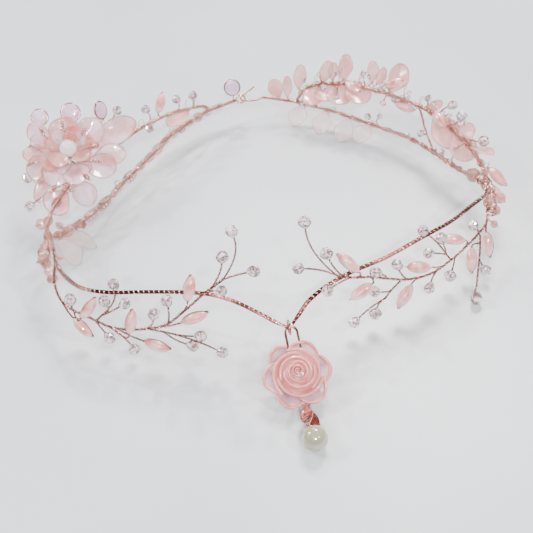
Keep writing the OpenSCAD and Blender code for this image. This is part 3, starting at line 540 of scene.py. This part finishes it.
# The lower left wire is bound thick with coils and small standing loops
s = back_rope(LOWER_L, 0.3)
for k in range(17):
    place = 0.17 + 0.047 * k
    coil(s, LOWER_L, place, 0.036, 1.75 + 0.35 * math.sin(k * 2.3), 4, 0.24, lean=k * 1.3, slot=k % 2)
    if k % 2:
        loop(s, on_curve(LOWER_L, place + 0.012), (math.sin(k), -0.4, 1.6), 3.4 + 0.7 * math.cos(k), 2.2, 0.2,
             slot=1)
s.make("lower_back_rope_left", [ROSE_GOLD_DEEP, ROSE_GOLD], ["lower_back_wire_left"])

s = back_rope(LOWER_R, 0.3)
for k in range(20):
    coil(s, LOWER_R, 0.1 + 0.043 * k, 0.02, 1.15, 3, 0.16, lean=k, slot=k % 2)
s.make("lower_back_rope_right", [ROSE_GOLD_DEEP, ROSE_GOLD], ["lower_back_wire_right"])

s = back_rope(UPPER_L, 0.22)
for k, place in enumerate((0.08, 0.16, 0.24, 0.3, 0.36, 0.42, 0.47)):
    coil(s, UPPER_L, place, 0.03, 1.6, 4, 0.22, lean=k * 0.8, slot=k % 2)
for place, lean, high, wide in ((0.57, (0.3, 0.3, 1), 4.2, 2.4), (0.62, (-0.4, -0.8, 0.3), 4.0, 2.6),
                                (0.81, (0.4, 0.4, 1), 5.4, 3.4)):
    loop(s, on_curve(UPPER_L, place), lean, high, wide, slot=1)
s.make("upper_back_rope_left", [ROSE_GOLD_DEEP, ROSE_GOLD], ["upper_back_wire_left"])

s = back_rope(UPPER_R, 0.22)
for k in range(19):
    place = 0.05 + 0.049 * k
    coil(s, UPPER_R, place, 0.022, 1.4, 3, 0.17, lean=k * 1.1, slot=k % 2)
    loop(s, on_curve(UPPER_R, place + 0.02), (math.sin(k * 2.1), -0.5 + 0.6 * math.cos(k), 1.1),
         3.0 + 0.7 * math.cos(k * 1.7), 1.9, 0.17, slot=1)
s.make("upper_back_rope_right", [ROSE_GOLD_DEEP, ROSE_GOLD], ["upper_back_wire_right"])

s = Shape()
s.rope(curve(STRUT, 0.2), 0.3, 2.2, shaded_strands=True)
s.make("back_strut_rope", [ROSE_GOLD_DEEP, ROSE_GOLD], ["back_strut"])
s = Shape()
s.rope(curve(HOOK, 0.2), 0.26, 2.6)
s.make("clasp_hook_rope", [ROSE_GOLD], ["clasp_hook"])


# ---------------------------------------------------------------- beads on twigs
def side_of(direction, k):
    """A unit vector across direction, turned a little differently for each k."""
    d = unit(direction)
    a = unit(np.cross(d, [0.2, 1, 0.3] if abs(d[1]) < 0.8 else [1, 0, 0.2]))
    b = np.cross(d, a)
    t = 0.5 * math.sin(k * 2.7)
    return a * math.cos(t) + b * math.sin(t)


def twig(wire, start, centre, direction, reach, thick=0.19):
    """Twisted twig from a stem to a point reach short of the bead's centre."""
    d = unit(direction)
    end = centre - d * reach
    bend = end - d * 0.45 * np.linalg.norm(end - start)
    u = np.linspace(0, 1, max(int(np.linalg.norm(end - start) / 0.2), 6))[:, None]
    path = (start * (1 - u) + bend * u) * (1 - u) + (bend * (1 - u) + end * u) * u
    wire.rope(path, thick, 1.8, phase=rng.random() * 6, sides=6, offset=thick * 1.15, shaded_strands=True)


def crystal_on_twig(wire, beads, start, centre, direction, k, d=CRYSTAL_D):
    """Cut bead in a fork of wire that runs through its hole."""
    axis = side_of(direction, k)
    beads.facets(centre, axis, d, painted_facets=True)
    down = -unit(direction)
    reach = d / 2 + 0.55
    twig(wire, start, centre, direction, reach)
    r = d / 2 + 0.13
    for side in (-1, 1):
        a = np.radians([0, 14, 30, 48, 68, 86])[:, None]
        out = np.array([reach, r + 0.18, r, r, r, r])[:, None]
        arc = centre + down * np.cos(a) * out + axis * side * np.sin(a) * r
        wire.tube(np.concatenate([arc, [centre + axis * side * (d / 2 - 0.25)]]), 0.13, sides=5)
    wire.tube(np.array([centre - axis * d / 2, centre, centre + axis * d / 2]), 0.12, sides=5)


def rice_profile(l, d, n=17, sharp=1.15):
    a = np.pi * np.arange(n) / (n - 1)
    return [(max(d / 2 * math.sin(x) ** sharp, 0.08), -l / 2 * math.cos(x)) for x in a]


def rice_on_twig(wire, beads, start, centre, direction, k):
    """Rice pearl with a wire along one side and a curl at its tip."""
    d = unit(direction)
    n = side_of(direction, k + 1)
    beads.lathe(centre, d, rice_profile(RICE_L, RICE_D), sides=24, squash=0.9, across=n)
    twig(wire, start, centre, direction, RICE_L / 2)
    prof = rice_profile(RICE_L + 0.5, RICE_D + 0.3, 13)
    wire.tube(np.array([centre + d * h + n * r for r, h in prof]), 0.12, sides=5)
    tip = centre + d * (RICE_L / 2 - 0.1)
    a = np.linspace(0, 1.5 * np.pi, 12)[:, None]
    wire.tube(tip + d * 0.5 * np.sin(a) + n * 0.5 * (1 - np.cos(a)), 0.15, sides=6)


def sprig(side, stems, crystals, rices):
    wire = Shape()
    for i, st in enumerate(stems):
        r = 0.27 if i == 0 else 0.22
        wire.rope(curve(st, 0.2), r, 2.5 if i == 0 else 2.1, phase=i, offset=r * 1.15, shaded_strands=True)
    wire.make(side + "_sprig_stem_twist", [ROSE_GOLD_SHADED, ROSE_GOLD_DEEP], [side + "_sprig_stems"])
    wire, cr, ri = Shape(), Shape(), Shape()
    for k, (i, t, c, d) in enumerate(crystals):
        crystal_on_twig(wire, cr, on_curve(stems[i], t), np.array(c, float), d, k)
    for k, (i, t, c, d) in enumerate(rices):
        rice_on_twig(wire, ri, on_curve(stems[i], t), np.array(c, float), d, k)
    wire.make(side + "_sprig_twig_twist", [ROSE_GOLD_SHADED, ROSE_GOLD_DEEP], [side + "_sprig_twigs"])
    cr.make(side + "_sprig_cut_crystals", CUT_GLASS_PAINTED_FACETS, [side + "_sprig_crystals"], smooth=False)
    ri.make(side + "_sprig_rice_beads", [RICE_PAINTED_SHEEN], [side + "_sprig_rice_pearls"])


sprig("left", STEMS_L, CRYSTALS_L, RICES_L)
sprig("right", STEMS_R, CRYSTALS_R, RICES_R)

BACK_WIRES = (UPPER_L, UPPER_R, STRUT, LOWER_R)
wire_l, wire_r, cl, cr, rices = Shape(), Shape(), Shape(), Shape(), Shape()
for beads, wire, cut in ((BACK_L, wire_l, cl), (BACK_R, wire_r, cr)):
    for k, (i, t, c, direction, *size) in enumerate(beads):
        crystal_on_twig(wire, cut, on_curve(BACK_WIRES[i], t), np.array(c, float), direction, k,
                        size[0] if size else CRYSTAL_D)
for k, (i, t, c, d) in enumerate(BACK_RICES):
    rice_on_twig(wire_r if i else wire_l, rices, on_curve(BACK_WIRES[i], t), np.array(c, float), d, k)
cl.make("back_cut_crystals_left", CUT_GLASS_PAINTED_FACETS, ["back_crystals_left"], smooth=False)
cr.make("back_cut_crystals_right", CUT_GLASS_PAINTED_FACETS, ["back_crystals_right"], smooth=False)
rices.make("back_rice_beads", [RICE_PAINTED_SHEEN], ["back_rice_pearls"])

# Seed beads and corner beads sit where the CAD solids are
seeds = Shape()
for c, size in islands("band_seed_beads"):
    seeds.facets(c, [0.3, 1, 0.2], size[0], segs=6)
seeds.make("band_cut_seed_beads", [CRYSTAL], ["band_seed_beads"], smooth=False)
# Turns of wire wound round the beads of each temple, and the wires that the beads are tied to
CORNER_COLUMN = {
    "left": [(-82, -47, 14.5), (-83, -42, 16.5), (-85, -37, 18), (-85, -30, 16.5), (-84, -22, 15)],
    "right": [(80, -50, 15.5), (82, -44, 16), (84.5, -37, 17), (84, -30, 16), (83, -21, 14)]}
CORNER_ROUTES = {"left": [UPPER_L[:4], LOWER_L[:4], BAND_L[-4:], STEMS_L[0][:4]],
                 "right": [UPPER_R[:4], LOWER_R[:4], BAND_R[-4:], STEMS_R[0][:4]]}
for side, column in CORNER_COLUMN.items():
    s, w = Shape(), Shape()
    for c, size in islands(side + "_corner_beads"):
        s.facets(c, [0.2, 1, 0.4], size[0])
        near = nearest(CORNER_ROUTES[side], c)
        half = unit(near - c + np.array([0, 0, 0.01])) * (size[0] / 2 + 0.5)
        w.rope(curve([near, c + half, c, c - half], 0.15), 0.17, 1.5, shaded_strands=True)
    for k in range(7):
        coil(w, column, 0.08 + 0.14 * k, 0.1, 1.9 + 0.3 * math.sin(k * 1.9), 2.5, 0.26, lean=k * 1.7,
             slot=k % 2)
    s.make(side + "_corner_cut_beads", [PEACH], [side + "_corner_beads"], smooth=False)
    w.make(side + "_corner_bead_wires", [ROSE_GOLD_DEEP, ROSE_GOLD], slot="rose_gold_wire")


# Twisted wire from the end of the right sprig's hanging stem into the top of the drop
DROP_R, DROP_HALF = 2.3, 2.85
s = Shape()
foot = np.array(STEMS_R[1][-1], float)
lo, hi = (np.array(c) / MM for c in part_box("hanging_drop"))
drop = (lo + hi) / 2
top = drop + np.array([0.2, 2.4, 0.6])
s.rope(curve([foot, (foot + top) / 2 + np.array([0, 0, 0.2]), top, drop], 0.15), 0.19, 1.6, shaded_strands=True)
s.make("hanging_drop_wire", [ROSE_GOLD_SHADED, ROSE_GOLD_DEEP], slot="rose_gold_wire")
s = Shape()
a = np.radians(np.arange(3, 178, 29))
s.lathe(drop, (0.2, 0.75, 0.25),
        [(DROP_R * math.sin(t) * (0.9 + 0.35 * math.cos(t)), -DROP_HALF * math.cos(t)) for t in a], sides=8)
# Painted shade and painted highlight: each facet of the drop takes one of the clear glass and its two painted
# copies at random
s.m = [rng.choices((0, 1, 2), (4, 4, 3))[0] for _ in s.f]
s.make("cut_hanging_drop", CUT_GLASS_PAINTED_FACETS, ["hanging_drop"], smooth=False)


# ---------------------------------------------------------------- petals
def petal(shape, root, tip, face, width, cup=0.16, thick=0.45, rim=0.2, notch=0.0, ruffle=0.0, twist=0.0,
          rings=7, segs=32, skin_slot=0, open_rim=False, point=0.0):
    """Cupped leaf of resin as a closed skin with a rounded rim; an open rim leaves the root bare."""
    root, tip = np.asarray(root, float), np.asarray(tip, float)
    y = unit(tip - root)
    x = unit(np.cross(y, face))
    z = np.cross(x, y)
    half, long = width / 2, np.linalg.norm(tip - root) / 2
    mid = (root + tip) / 2
    a = 2 * np.pi * np.arange(segs) / segs
    ca, sa = np.cos(a), np.sin(a)
    narrow = 1 - 0.62 * np.clip(-ca, 0, 1) ** 1.3 - point * np.clip(ca, 0, 1) ** 2
    reach = 1 - notch * np.exp(-(a - np.pi * 2 * (a > np.pi)) ** 2 / 0.03)
    rows = []
    for side in (1, -1):
        for i in range(rings + 1):
            rho = i / rings if side == 1 else 1 - i / rings
            px, py = half * rho * sa * narrow, long * rho * ca * reach
            v, w = px / half, (py / long + 1) / 2
            pz = cup * width * (v ** 2 + 0.5 * w ** 2) + ruffle * np.sin(5 * a) * rho ** 3 + twist * v * w
            pz = pz + side * thick / 2 * (1 - rho ** 4)
            if not (side == -1 and i == 0):
                rows.append(mid + x * px[:, None] + y * py[:, None] + z * pz[:, None])
    shape.grid(rows, skin_slot, wrap=True, flip=True)
    if open_rim:
        outer = np.roll(rows[rings], segs // 2, 0)[segs // 5:segs - segs // 5 + 1]
        swell = np.sin(np.linspace(0, np.pi, len(outer))) ** 0.5
        shape.tube(outer, 0.08 + rim * swell, 8, 1)
    else:
        shape.tube(rows[rings], rim, 6, 1, closed=True)


FLOWER = np.array([-76, 15, 26.0])
FLOWER_CORE = FLOWER + np.array([2, 1, 1.5])
WIDER = 1.1     # the petals are this many times as wide as the CAD's
CORE_PETALS = 11
for name, node, table, skin, edge, rim in (
        ("flower_outer_petals", "flower_petals", FLOWER_PETALS, PETAL, PETAL_RIM, 0.12),
        ("flower_inner_petals", "flower_heart", HEART_PETALS, HEART, PETAL_RIM, 0.1),
        ("back_spray_petals", "spray_petals", SPRAY, SPRAY_PETAL, SPRAY_RIM, 0.16),
        ("temple_petals", "corner_petals", CORNER, FAINT_PETAL, FAINT_RIM, 0.16),
        ("under_band_petals", "band_petals", UNDER, FAINT_PETAL, FAINT_RIM, 0.14)):
    s = Shape()
    for k, (root, tip, face, width) in enumerate(table):
        petal(s, root, tip, face, width * WIDER, ruffle=0.22, twist=0.5 * math.sin(k * 2.2), rim=rim)
    if node == "flower_heart":
        for k in range(CORE_PETALS):
            a = 2 * math.pi * k / CORE_PETALS + 0.2
            out = unit((math.cos(a), 0.35 * math.sin(a) - 0.35, 0.8 * math.sin(a) + 0.25))
            tip = FLOWER_CORE + out * (11.5 + 1.5 * math.sin(k * 2.4))
            petal(s, FLOWER_CORE + out * 3.5, tip, (0.3 * math.cos(a), -3, 2), 5.6, ruffle=0.3,
                  twist=0.8 * math.sin(k * 1.7), rim=0.09, skin_slot=2 * (k % 2))
    s.make(name, [skin, edge, PETAL], [node])

# Ties from the right back wires to the spray's petals, all but the last, and from the flower's middle to
# its first 12. The CAD has none of these: many of its petals stand clear of every wire.
s = Shape()
for root, tip, _, _ in SPRAY[:-1]:
    root, along = np.array(root, float), unit(np.subtract(tip, root))
    near = nearest((UPPER_R, LOWER_R), root)
    s.rope(curve([near, root + along * 0.4, root + along * 1.2], 0.2), 0.14, 1.4)
for root, tip, _, _ in FLOWER_PETALS[:12]:
    root, along = np.array(root, float), unit(np.subtract(tip, root))
    s.rope(curve([FLOWER, root, root + along * 1.2], 0.2), 0.14, 1.4)
s.make("petal_ties", [ROSE_GOLD_DEEP], slot="rose_gold_wire")

# Fine wires with bead tips stand between the petals of the spray
s, tips = Shape(), Shape()
for k in range(26):
    foot = on_curve(UPPER_R, 0.3 + 0.024 * k)
    lean = unit((0.5 * math.sin(k * 1.9), 0.5 * math.cos(k * 2.6), 0.8 + 0.3 * math.sin(k)))
    high = 4.2 + 1.6 * math.sin(k * 1.3)
    bend = foot + lean * high * 0.5 + np.array([0.5 * math.cos(k), 0, 0])
    s.tube(curve([foot, bend, foot + lean * high], 0.3), 0.15, 6)
    if k % 2:
        tips.facets(foot + lean * (high + 0.8), lean, 2.1, segs=6, painted_facets=True)
    else:
        loop(s, foot + lean * high, lean, 2.2, 1.5, 0.15, slot=1)
s.make("spray_tendrils", [ROSE_GOLD_DEEP, ROSE_GOLD], slot="rose_gold_wire")
tips.make("spray_seed_beads", CUT_GLASS_PAINTED_FACETS, slot="clear_crystal", smooth=False)

# Fine wires curl out between the petals of the flower
s = Shape()
for k in range(11):
    a = 2 * math.pi * k / 11 + 0.3
    out = unit((math.cos(a), 0.75 * math.sin(a) - 0.25, 0.55 * math.sin(a) + 0.25))
    start = FLOWER + out * 9 + np.array([0, -3.5, 1.0])
    route = [start + out * 2.3 * j + np.array([0.6 * math.sin(j + k), -0.35 * j, 0.5 * math.cos(j * 1.3 + k)])
             for j in range(4)]
    s.tube(curve(route, 0.3), 0.15, 6)
    coil(s, route, 0.72, 0.5, 0.75, 4, 0.2, lean=k, slot=k % 2)
for foot in (UPPER_L[3], UPPER_L[4]):
    stalk = [foot, (np.array(foot) + FLOWER) / 2, FLOWER, FLOWER + np.array([1.5, 0, 3.5])]
    s.rope(curve(stalk, 0.2), 0.3, 2.2)
s.make("flower_tendrils", [ROSE_GOLD, ROSE_GOLD_DEEP], slot="rose_gold_wire")

# Moonstone discs in their rims, on the CAD places
lens, rims = Shape(), Shape()
for i, (c, face, d) in enumerate(DISCS):
    a = np.radians(np.arange(-90, 91, 12))
    lens.lathe(c, face, [(max(d / 2 * math.cos(t) ** 0.5, 0.02), 0.95 * math.sin(t)) for t in a], sides=32)
    n = unit(face)
    x = unit(np.cross(n, [1, 0, 0]))
    y = np.cross(n, x)
    a = 2 * np.pi * np.arange(40)[:, None] / 40
    rims.tube(np.array(c) + d / 2 * (x * np.cos(a) + y * np.sin(a)), 0.42, 8, closed=True)
    start = FLOWER if i < 3 else np.array([-1, 66, 11.5])
    foot = np.array(c) + unit(np.array([0, 0, -1]) + n * n[2]) * (d / 2 + 0.35)
    u = np.linspace(0, 1, 60)[:, None]
    wire_l.rope(start * (1 - u) + foot * u + np.array([0, 0, -3]) * u * (1 - u), 0.16, 2.0, shaded_strands=True)
lens.make("moonstone_lenses", [MOON], ["moonstone_discs"])
rims.make("moonstone_rims", [ROSE_GOLD_DEEP], ["disc_rims"])
wire_l.make("back_twig_twist_left", [ROSE_GOLD_DEEP, ROSE_GOLD], ["back_twigs_left"])
wire_r.make("back_twig_twist_right", [ROSE_GOLD_DEEP, ROSE_GOLD], ["back_twigs_right"])

# The knot is a bead under three crossed turns of wire
KNOT_R = 1.7
s = Shape()
centre = (np.array(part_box("wrapped_knot")[0]) + np.array(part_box("wrapped_knot")[1])) / 2 / MM
s.lathe(centre, (2, 1, 1),
        [(max(KNOT_R * math.sin(a), 0.02), -KNOT_R * math.cos(a)) for a in np.linspace(0, np.pi, 13)], 20)
for k, axis in enumerate(((2, 1, 1), (1, 0.2, 1.6), (2, 1.6, -0.4))):
    n = unit(axis)
    x = unit(np.cross(n, [0, 1, 0.3]))
    y = np.cross(n, x)
    a = 2 * np.pi * np.arange(36)[:, None] / 36
    s.tube(centre + (1.75 + 0.1 * k) * (x * np.cos(a) + y * np.sin(a)), 0.26, 6, k % 2, closed=True)
s.make("knot_windings", [ROSE_GOLD_DEEP, ROSE_GOLD], ["wrapped_knot"])


# ---------------------------------------------------------------- pendant, hung as in the CAD, in millimetres
PEAK = np.array([-4, -88, 14.0])
TILT = math.radians(26)
LOOP_TOP = PEAK + [0, -0.81, 1.43]
EYE_DROP, EYE_R, EYE_SINK = 25.2, 1.5, 0.3
PIN_DROP, PEARL_HANG, PEARL_D = 8.8, 3.4, 8.0
ROLL = math.radians(-25)


def turned_x(v, angle):
    c, t = math.cos(angle), math.sin(angle)
    return np.stack([v[:, 0], v[:, 1] * c - v[:, 2] * t, v[:, 1] * t + v[:, 2] * c], 1)


def turned_y(v, angle):
    c, t = math.cos(angle), math.sin(angle)
    return np.stack([v[:, 0] * c + v[:, 2] * t, v[:, 1], v[:, 2] * c - v[:, 0] * t], 1)


EYE = turned_x(np.array([[0, -EYE_DROP - EYE_R, -EYE_SINK]]), TILT)[0] + LOOP_TOP
BAIL_TILT = -math.asin((PEARL_D / 2 - EYE[2]) / (PIN_DROP + PEARL_HANG))


def place_rose(shape):
    shape.v = [turned_x(v, TILT) + LOOP_TOP for v in shape.v]
    return shape


def place_bail(shape):
    shape.v = [turned_x(turned_y(v, ROLL), BAIL_TILT) + EYE for v in shape.v]
    return shape


# The rose, drawn flat round its middle, then tilted and hung from the top of its loop
C = np.array([-0.75, -15.8, 0.0])
s = Shape()
for k in range(6):
    a = math.radians(60 * k + 3)
    out = np.array([math.cos(a), math.sin(a), 0])
    low = np.array([0, 0, -1 if k % 2 == 0 else -0.45])
    petal(s, C + 1.7 * out + low, C + 10.9 * out + low, (0, 0, 1), 9.6, cup=0.1, thick=0.7, rim=0.56,
          notch=0.02, ruffle=0.2, rings=9, segs=40, open_rim=True, point=0.22)
place_rose(s).make("rose_outer_petals", [ROSE_VEIL, ROSE_RIM], ["rose_petals"], body="rose")


def rose_wall(shape, start, span, r_base, r_rim, z_base, z_rim, lip, swirl, cols=26):
    """One inner petal: a closed wall that leans out, with a pale rolled rim; below the rim the wall takes the
    resin darkened as painted shade.
    """
    u = np.linspace(-1, 1, cols)
    th = start + span / 2 * u
    drop = 1 - 0.4 * np.abs(u) ** 3
    turn = swirl * r_rim * u
    section = ((r_base, 0.0), (r_base + (r_rim - r_base) * 0.55, 0.5), (r_rim, 0.86), (r_rim + lip, 0.93),
               (r_rim + lip * 0.9, 1.02), (r_rim + lip * 0.2, 1.06), (r_rim - lip * 0.5, 1.0),
               (r_rim - lip, 0.8), (r_base - lip, 0.0))
    rows = [C + np.stack([(r + turn) * np.cos(th), (r + turn) * np.sin(th),
                          z_base + (z_rim - z_base) * h * drop], 1) for r, h in section]
    shape.grid(rows[:3], 0, flip=True)
    shape.grid(rows[2:7], 1, flip=True)
    shape.grid(rows[6:], 0, flip=True)


s = Shape()
s.lathe(C, (0, 0, 1),
        [(0.05, -1), (4.5, -0.9), (6.3, 0.2), (6.0, 1.0), (4.6, 1.9), (2.6, 2.8), (1.2, 3.4), (0.05, 3.5)],
        sides=48)
for r_rim, z_rim, count, span, lip, off, swirl in (
        (7.2, 1.6, 3, 2.8, 0.55, 0.4, 0.12), (4.8, 3.2, 2, 3.8, 0.5, 1.5, 0.16),
        (2.9, 4.2, 2, 3.5, 0.42, 0.3, 0.14)):
    for k in range(count):
        rose_wall(s, off + 2 * math.pi * k / count, span, r_rim * 0.62, r_rim, -0.2, z_rim, lip, swirl)
# The innermost petal is rolled into a spiral
u = np.linspace(0, 1, 60)
th, r = 0.6 + u * 2 * math.pi * 1.7, 0.3 + 1.5 * u
wall = ((r * 0.8, 3.0), (r * 0.92, 4.2), (r, 4.9), (r + 0.12, 5.2), (r + 0.3, 5.2), (r + 0.36, 4.9),
        (r + 0.2, 3.0))
rows = [np.stack([rr * np.cos(th), rr * np.sin(th), zz + 0 * th], 1) for rr, zz in wall]
s.grid(np.array(rows[:3]) + C, 0, flip=True)
s.grid(np.array(rows[2:6]) + C, 1, flip=True)
s.grid(np.array(rows[5:]) + C, 0, flip=True)
place_rose(s).make("rose_layered_core", [ROSE_BODY_SHADED, ROSE_EDGE], ["rose_core"], body="rose")

# Bail: a strip folded over the eye, with a ridged and cut leaf on each side of the pearl
FOLD_R, HALF_FOLD, LEAF_T, LEAF_L, SPLAY = 0.9, 0.375, 0.35, 9.6, math.radians(15)
s = Shape()
for side in (-1, 1):
    rows = []
    for t in np.linspace(0, 1, 13):
        half = HALF_FOLD + 1.85 * math.sin(math.pi * t) ** 1.2
        v = np.array([-1, -0.55, 0, 0.55, 1])
        ridge = (0.42 + 0.08 * (round(t * 12) % 2)) * (1 - np.abs(v)) * math.sin(math.pi * t)
        outer = np.stack([v * half, np.full(5, -LEAF_L * t), side * (LEAF_T / 2 + ridge)], 1)
        inner = np.stack([v[::-1] * half, np.full(5, -LEAF_L * t), np.full(5, -side * LEAF_T / 2)], 1)
        rows.append(turned_x(np.concatenate([outer, inner]), -side * SPLAY) + [0, 0, side * FOLD_R])
    s.grid(rows, 0, wrap=True, caps=True, flip=side == 1)
a = np.radians(np.linspace(-90, 90, 15))
fold = []
for t in a:
    corners = [(FOLD_R + d * LEAF_T / 2, w * HALF_FOLD) for d, w in ((1, -1), (1, 1), (-1, 1), (-1, -1))]
    fold.append([(w, r * math.cos(t), r * math.sin(t)) for r, w in corners])
s.grid(fold, 0, wrap=True, caps=True)
place_bail(s).make("ridged_drop_bail", [BAIL], ["drop_bail"], body="bail", smooth=False)

# CAD pieces that keep their shape
for node, m in (("jump_ring", ROSE_GOLD_DEEP), ("rose_loop", ROSE_GOLD_DEEP), ("rose_eye", ROSE_GOLD),
                ("drop_pin", ROSE_GOLD), ("clasp_eye", ROSE_GOLD), ("pearl_drop", IVORY),
                ("flower_pearl", WHITE)):
    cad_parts[node].data.materials.clear()
    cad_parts[node].data.materials.append(m)

# ---------------------------------------------------------------- floor and light
FLOOR_HALF = 3.0
floor = bpy.data.meshes.new("floor")
floor.from_pydata([(x * FLOOR_HALF, y * FLOOR_HALF, 0) for x, y in ((-1, -1), (1, -1), (1, 1), (-1, 1))], [],
                  [(0, 1, 2, 3)])
floor_obj = bpy.data.objects.new("floor", floor)
floor.materials.append(material("pale_floor", (208, 210, 214), 0.42, dark=(196, 198, 203), scale=5, detail=6))
bpy.context.scene.collection.objects.link(floor_obj)


def area(name, place, target, size, power, rgb=(255, 255, 255)):
    data = bpy.data.lights.new(name, "AREA")
    data.energy, data.size, data.color = power, size, lin(*rgb)[:3]
    o = bpy.data.objects.new(name, data)
    o.location = place
    o.rotation_euler = (Vector(target) - Vector(place)).to_track_quat("-Z", "Y").to_euler()
    bpy.context.scene.collection.objects.link(o)


area("key", (0.3, 0.5, 0.75), (0, 0, 0), 0.25, 11)
area("fill", (-0.55, 0.3, 0.6), (0, 0, 0), 0.25, 4.5)
area("front", (-0.2, -0.8, 0.9), (0, 0, 0), 0.5, 3)
# Small lamps that put glints on wire and glass
SPARKS = ((-0.07, -0.62, 0.5), (0.05, -0.6, 0.56), (0.4, -0.4, 0.5), (0.05, 0.6, 0.6), (-0.6, 0.1, 0.5))
for k, place in enumerate(SPARKS):
    area("spark_%d" % k, place, (0, -0.05, 0), 0.035, 2.8)

# Sky: pale overhead, greyer near the horizon, so that metal and glass have something to reflect
world = bpy.data.worlds.new("world")
bpy.context.scene.world = world
world.use_nodes = True
nodes, links = world.node_tree.nodes, world.node_tree.links
split, ramp = nodes.new("ShaderNodeSeparateXYZ"), nodes.new("ShaderNodeValToRGB")
links.new(nodes.new("ShaderNodeTexCoord").outputs["Generated"], split.inputs["Vector"])
links.new(split.outputs["Z"], ramp.inputs["Fac"])
ramp.color_ramp.elements[0].position, ramp.color_ramp.elements[1].position = 0.15, 0.8
ramp.color_ramp.elements[0].color, ramp.color_ramp.elements[1].color = lin(138, 138, 144), lin(250, 251, 255)
links.new(ramp.outputs["Color"], nodes["Background"].inputs["Color"])
nodes["Background"].inputs["Strength"].default_value = 0.42
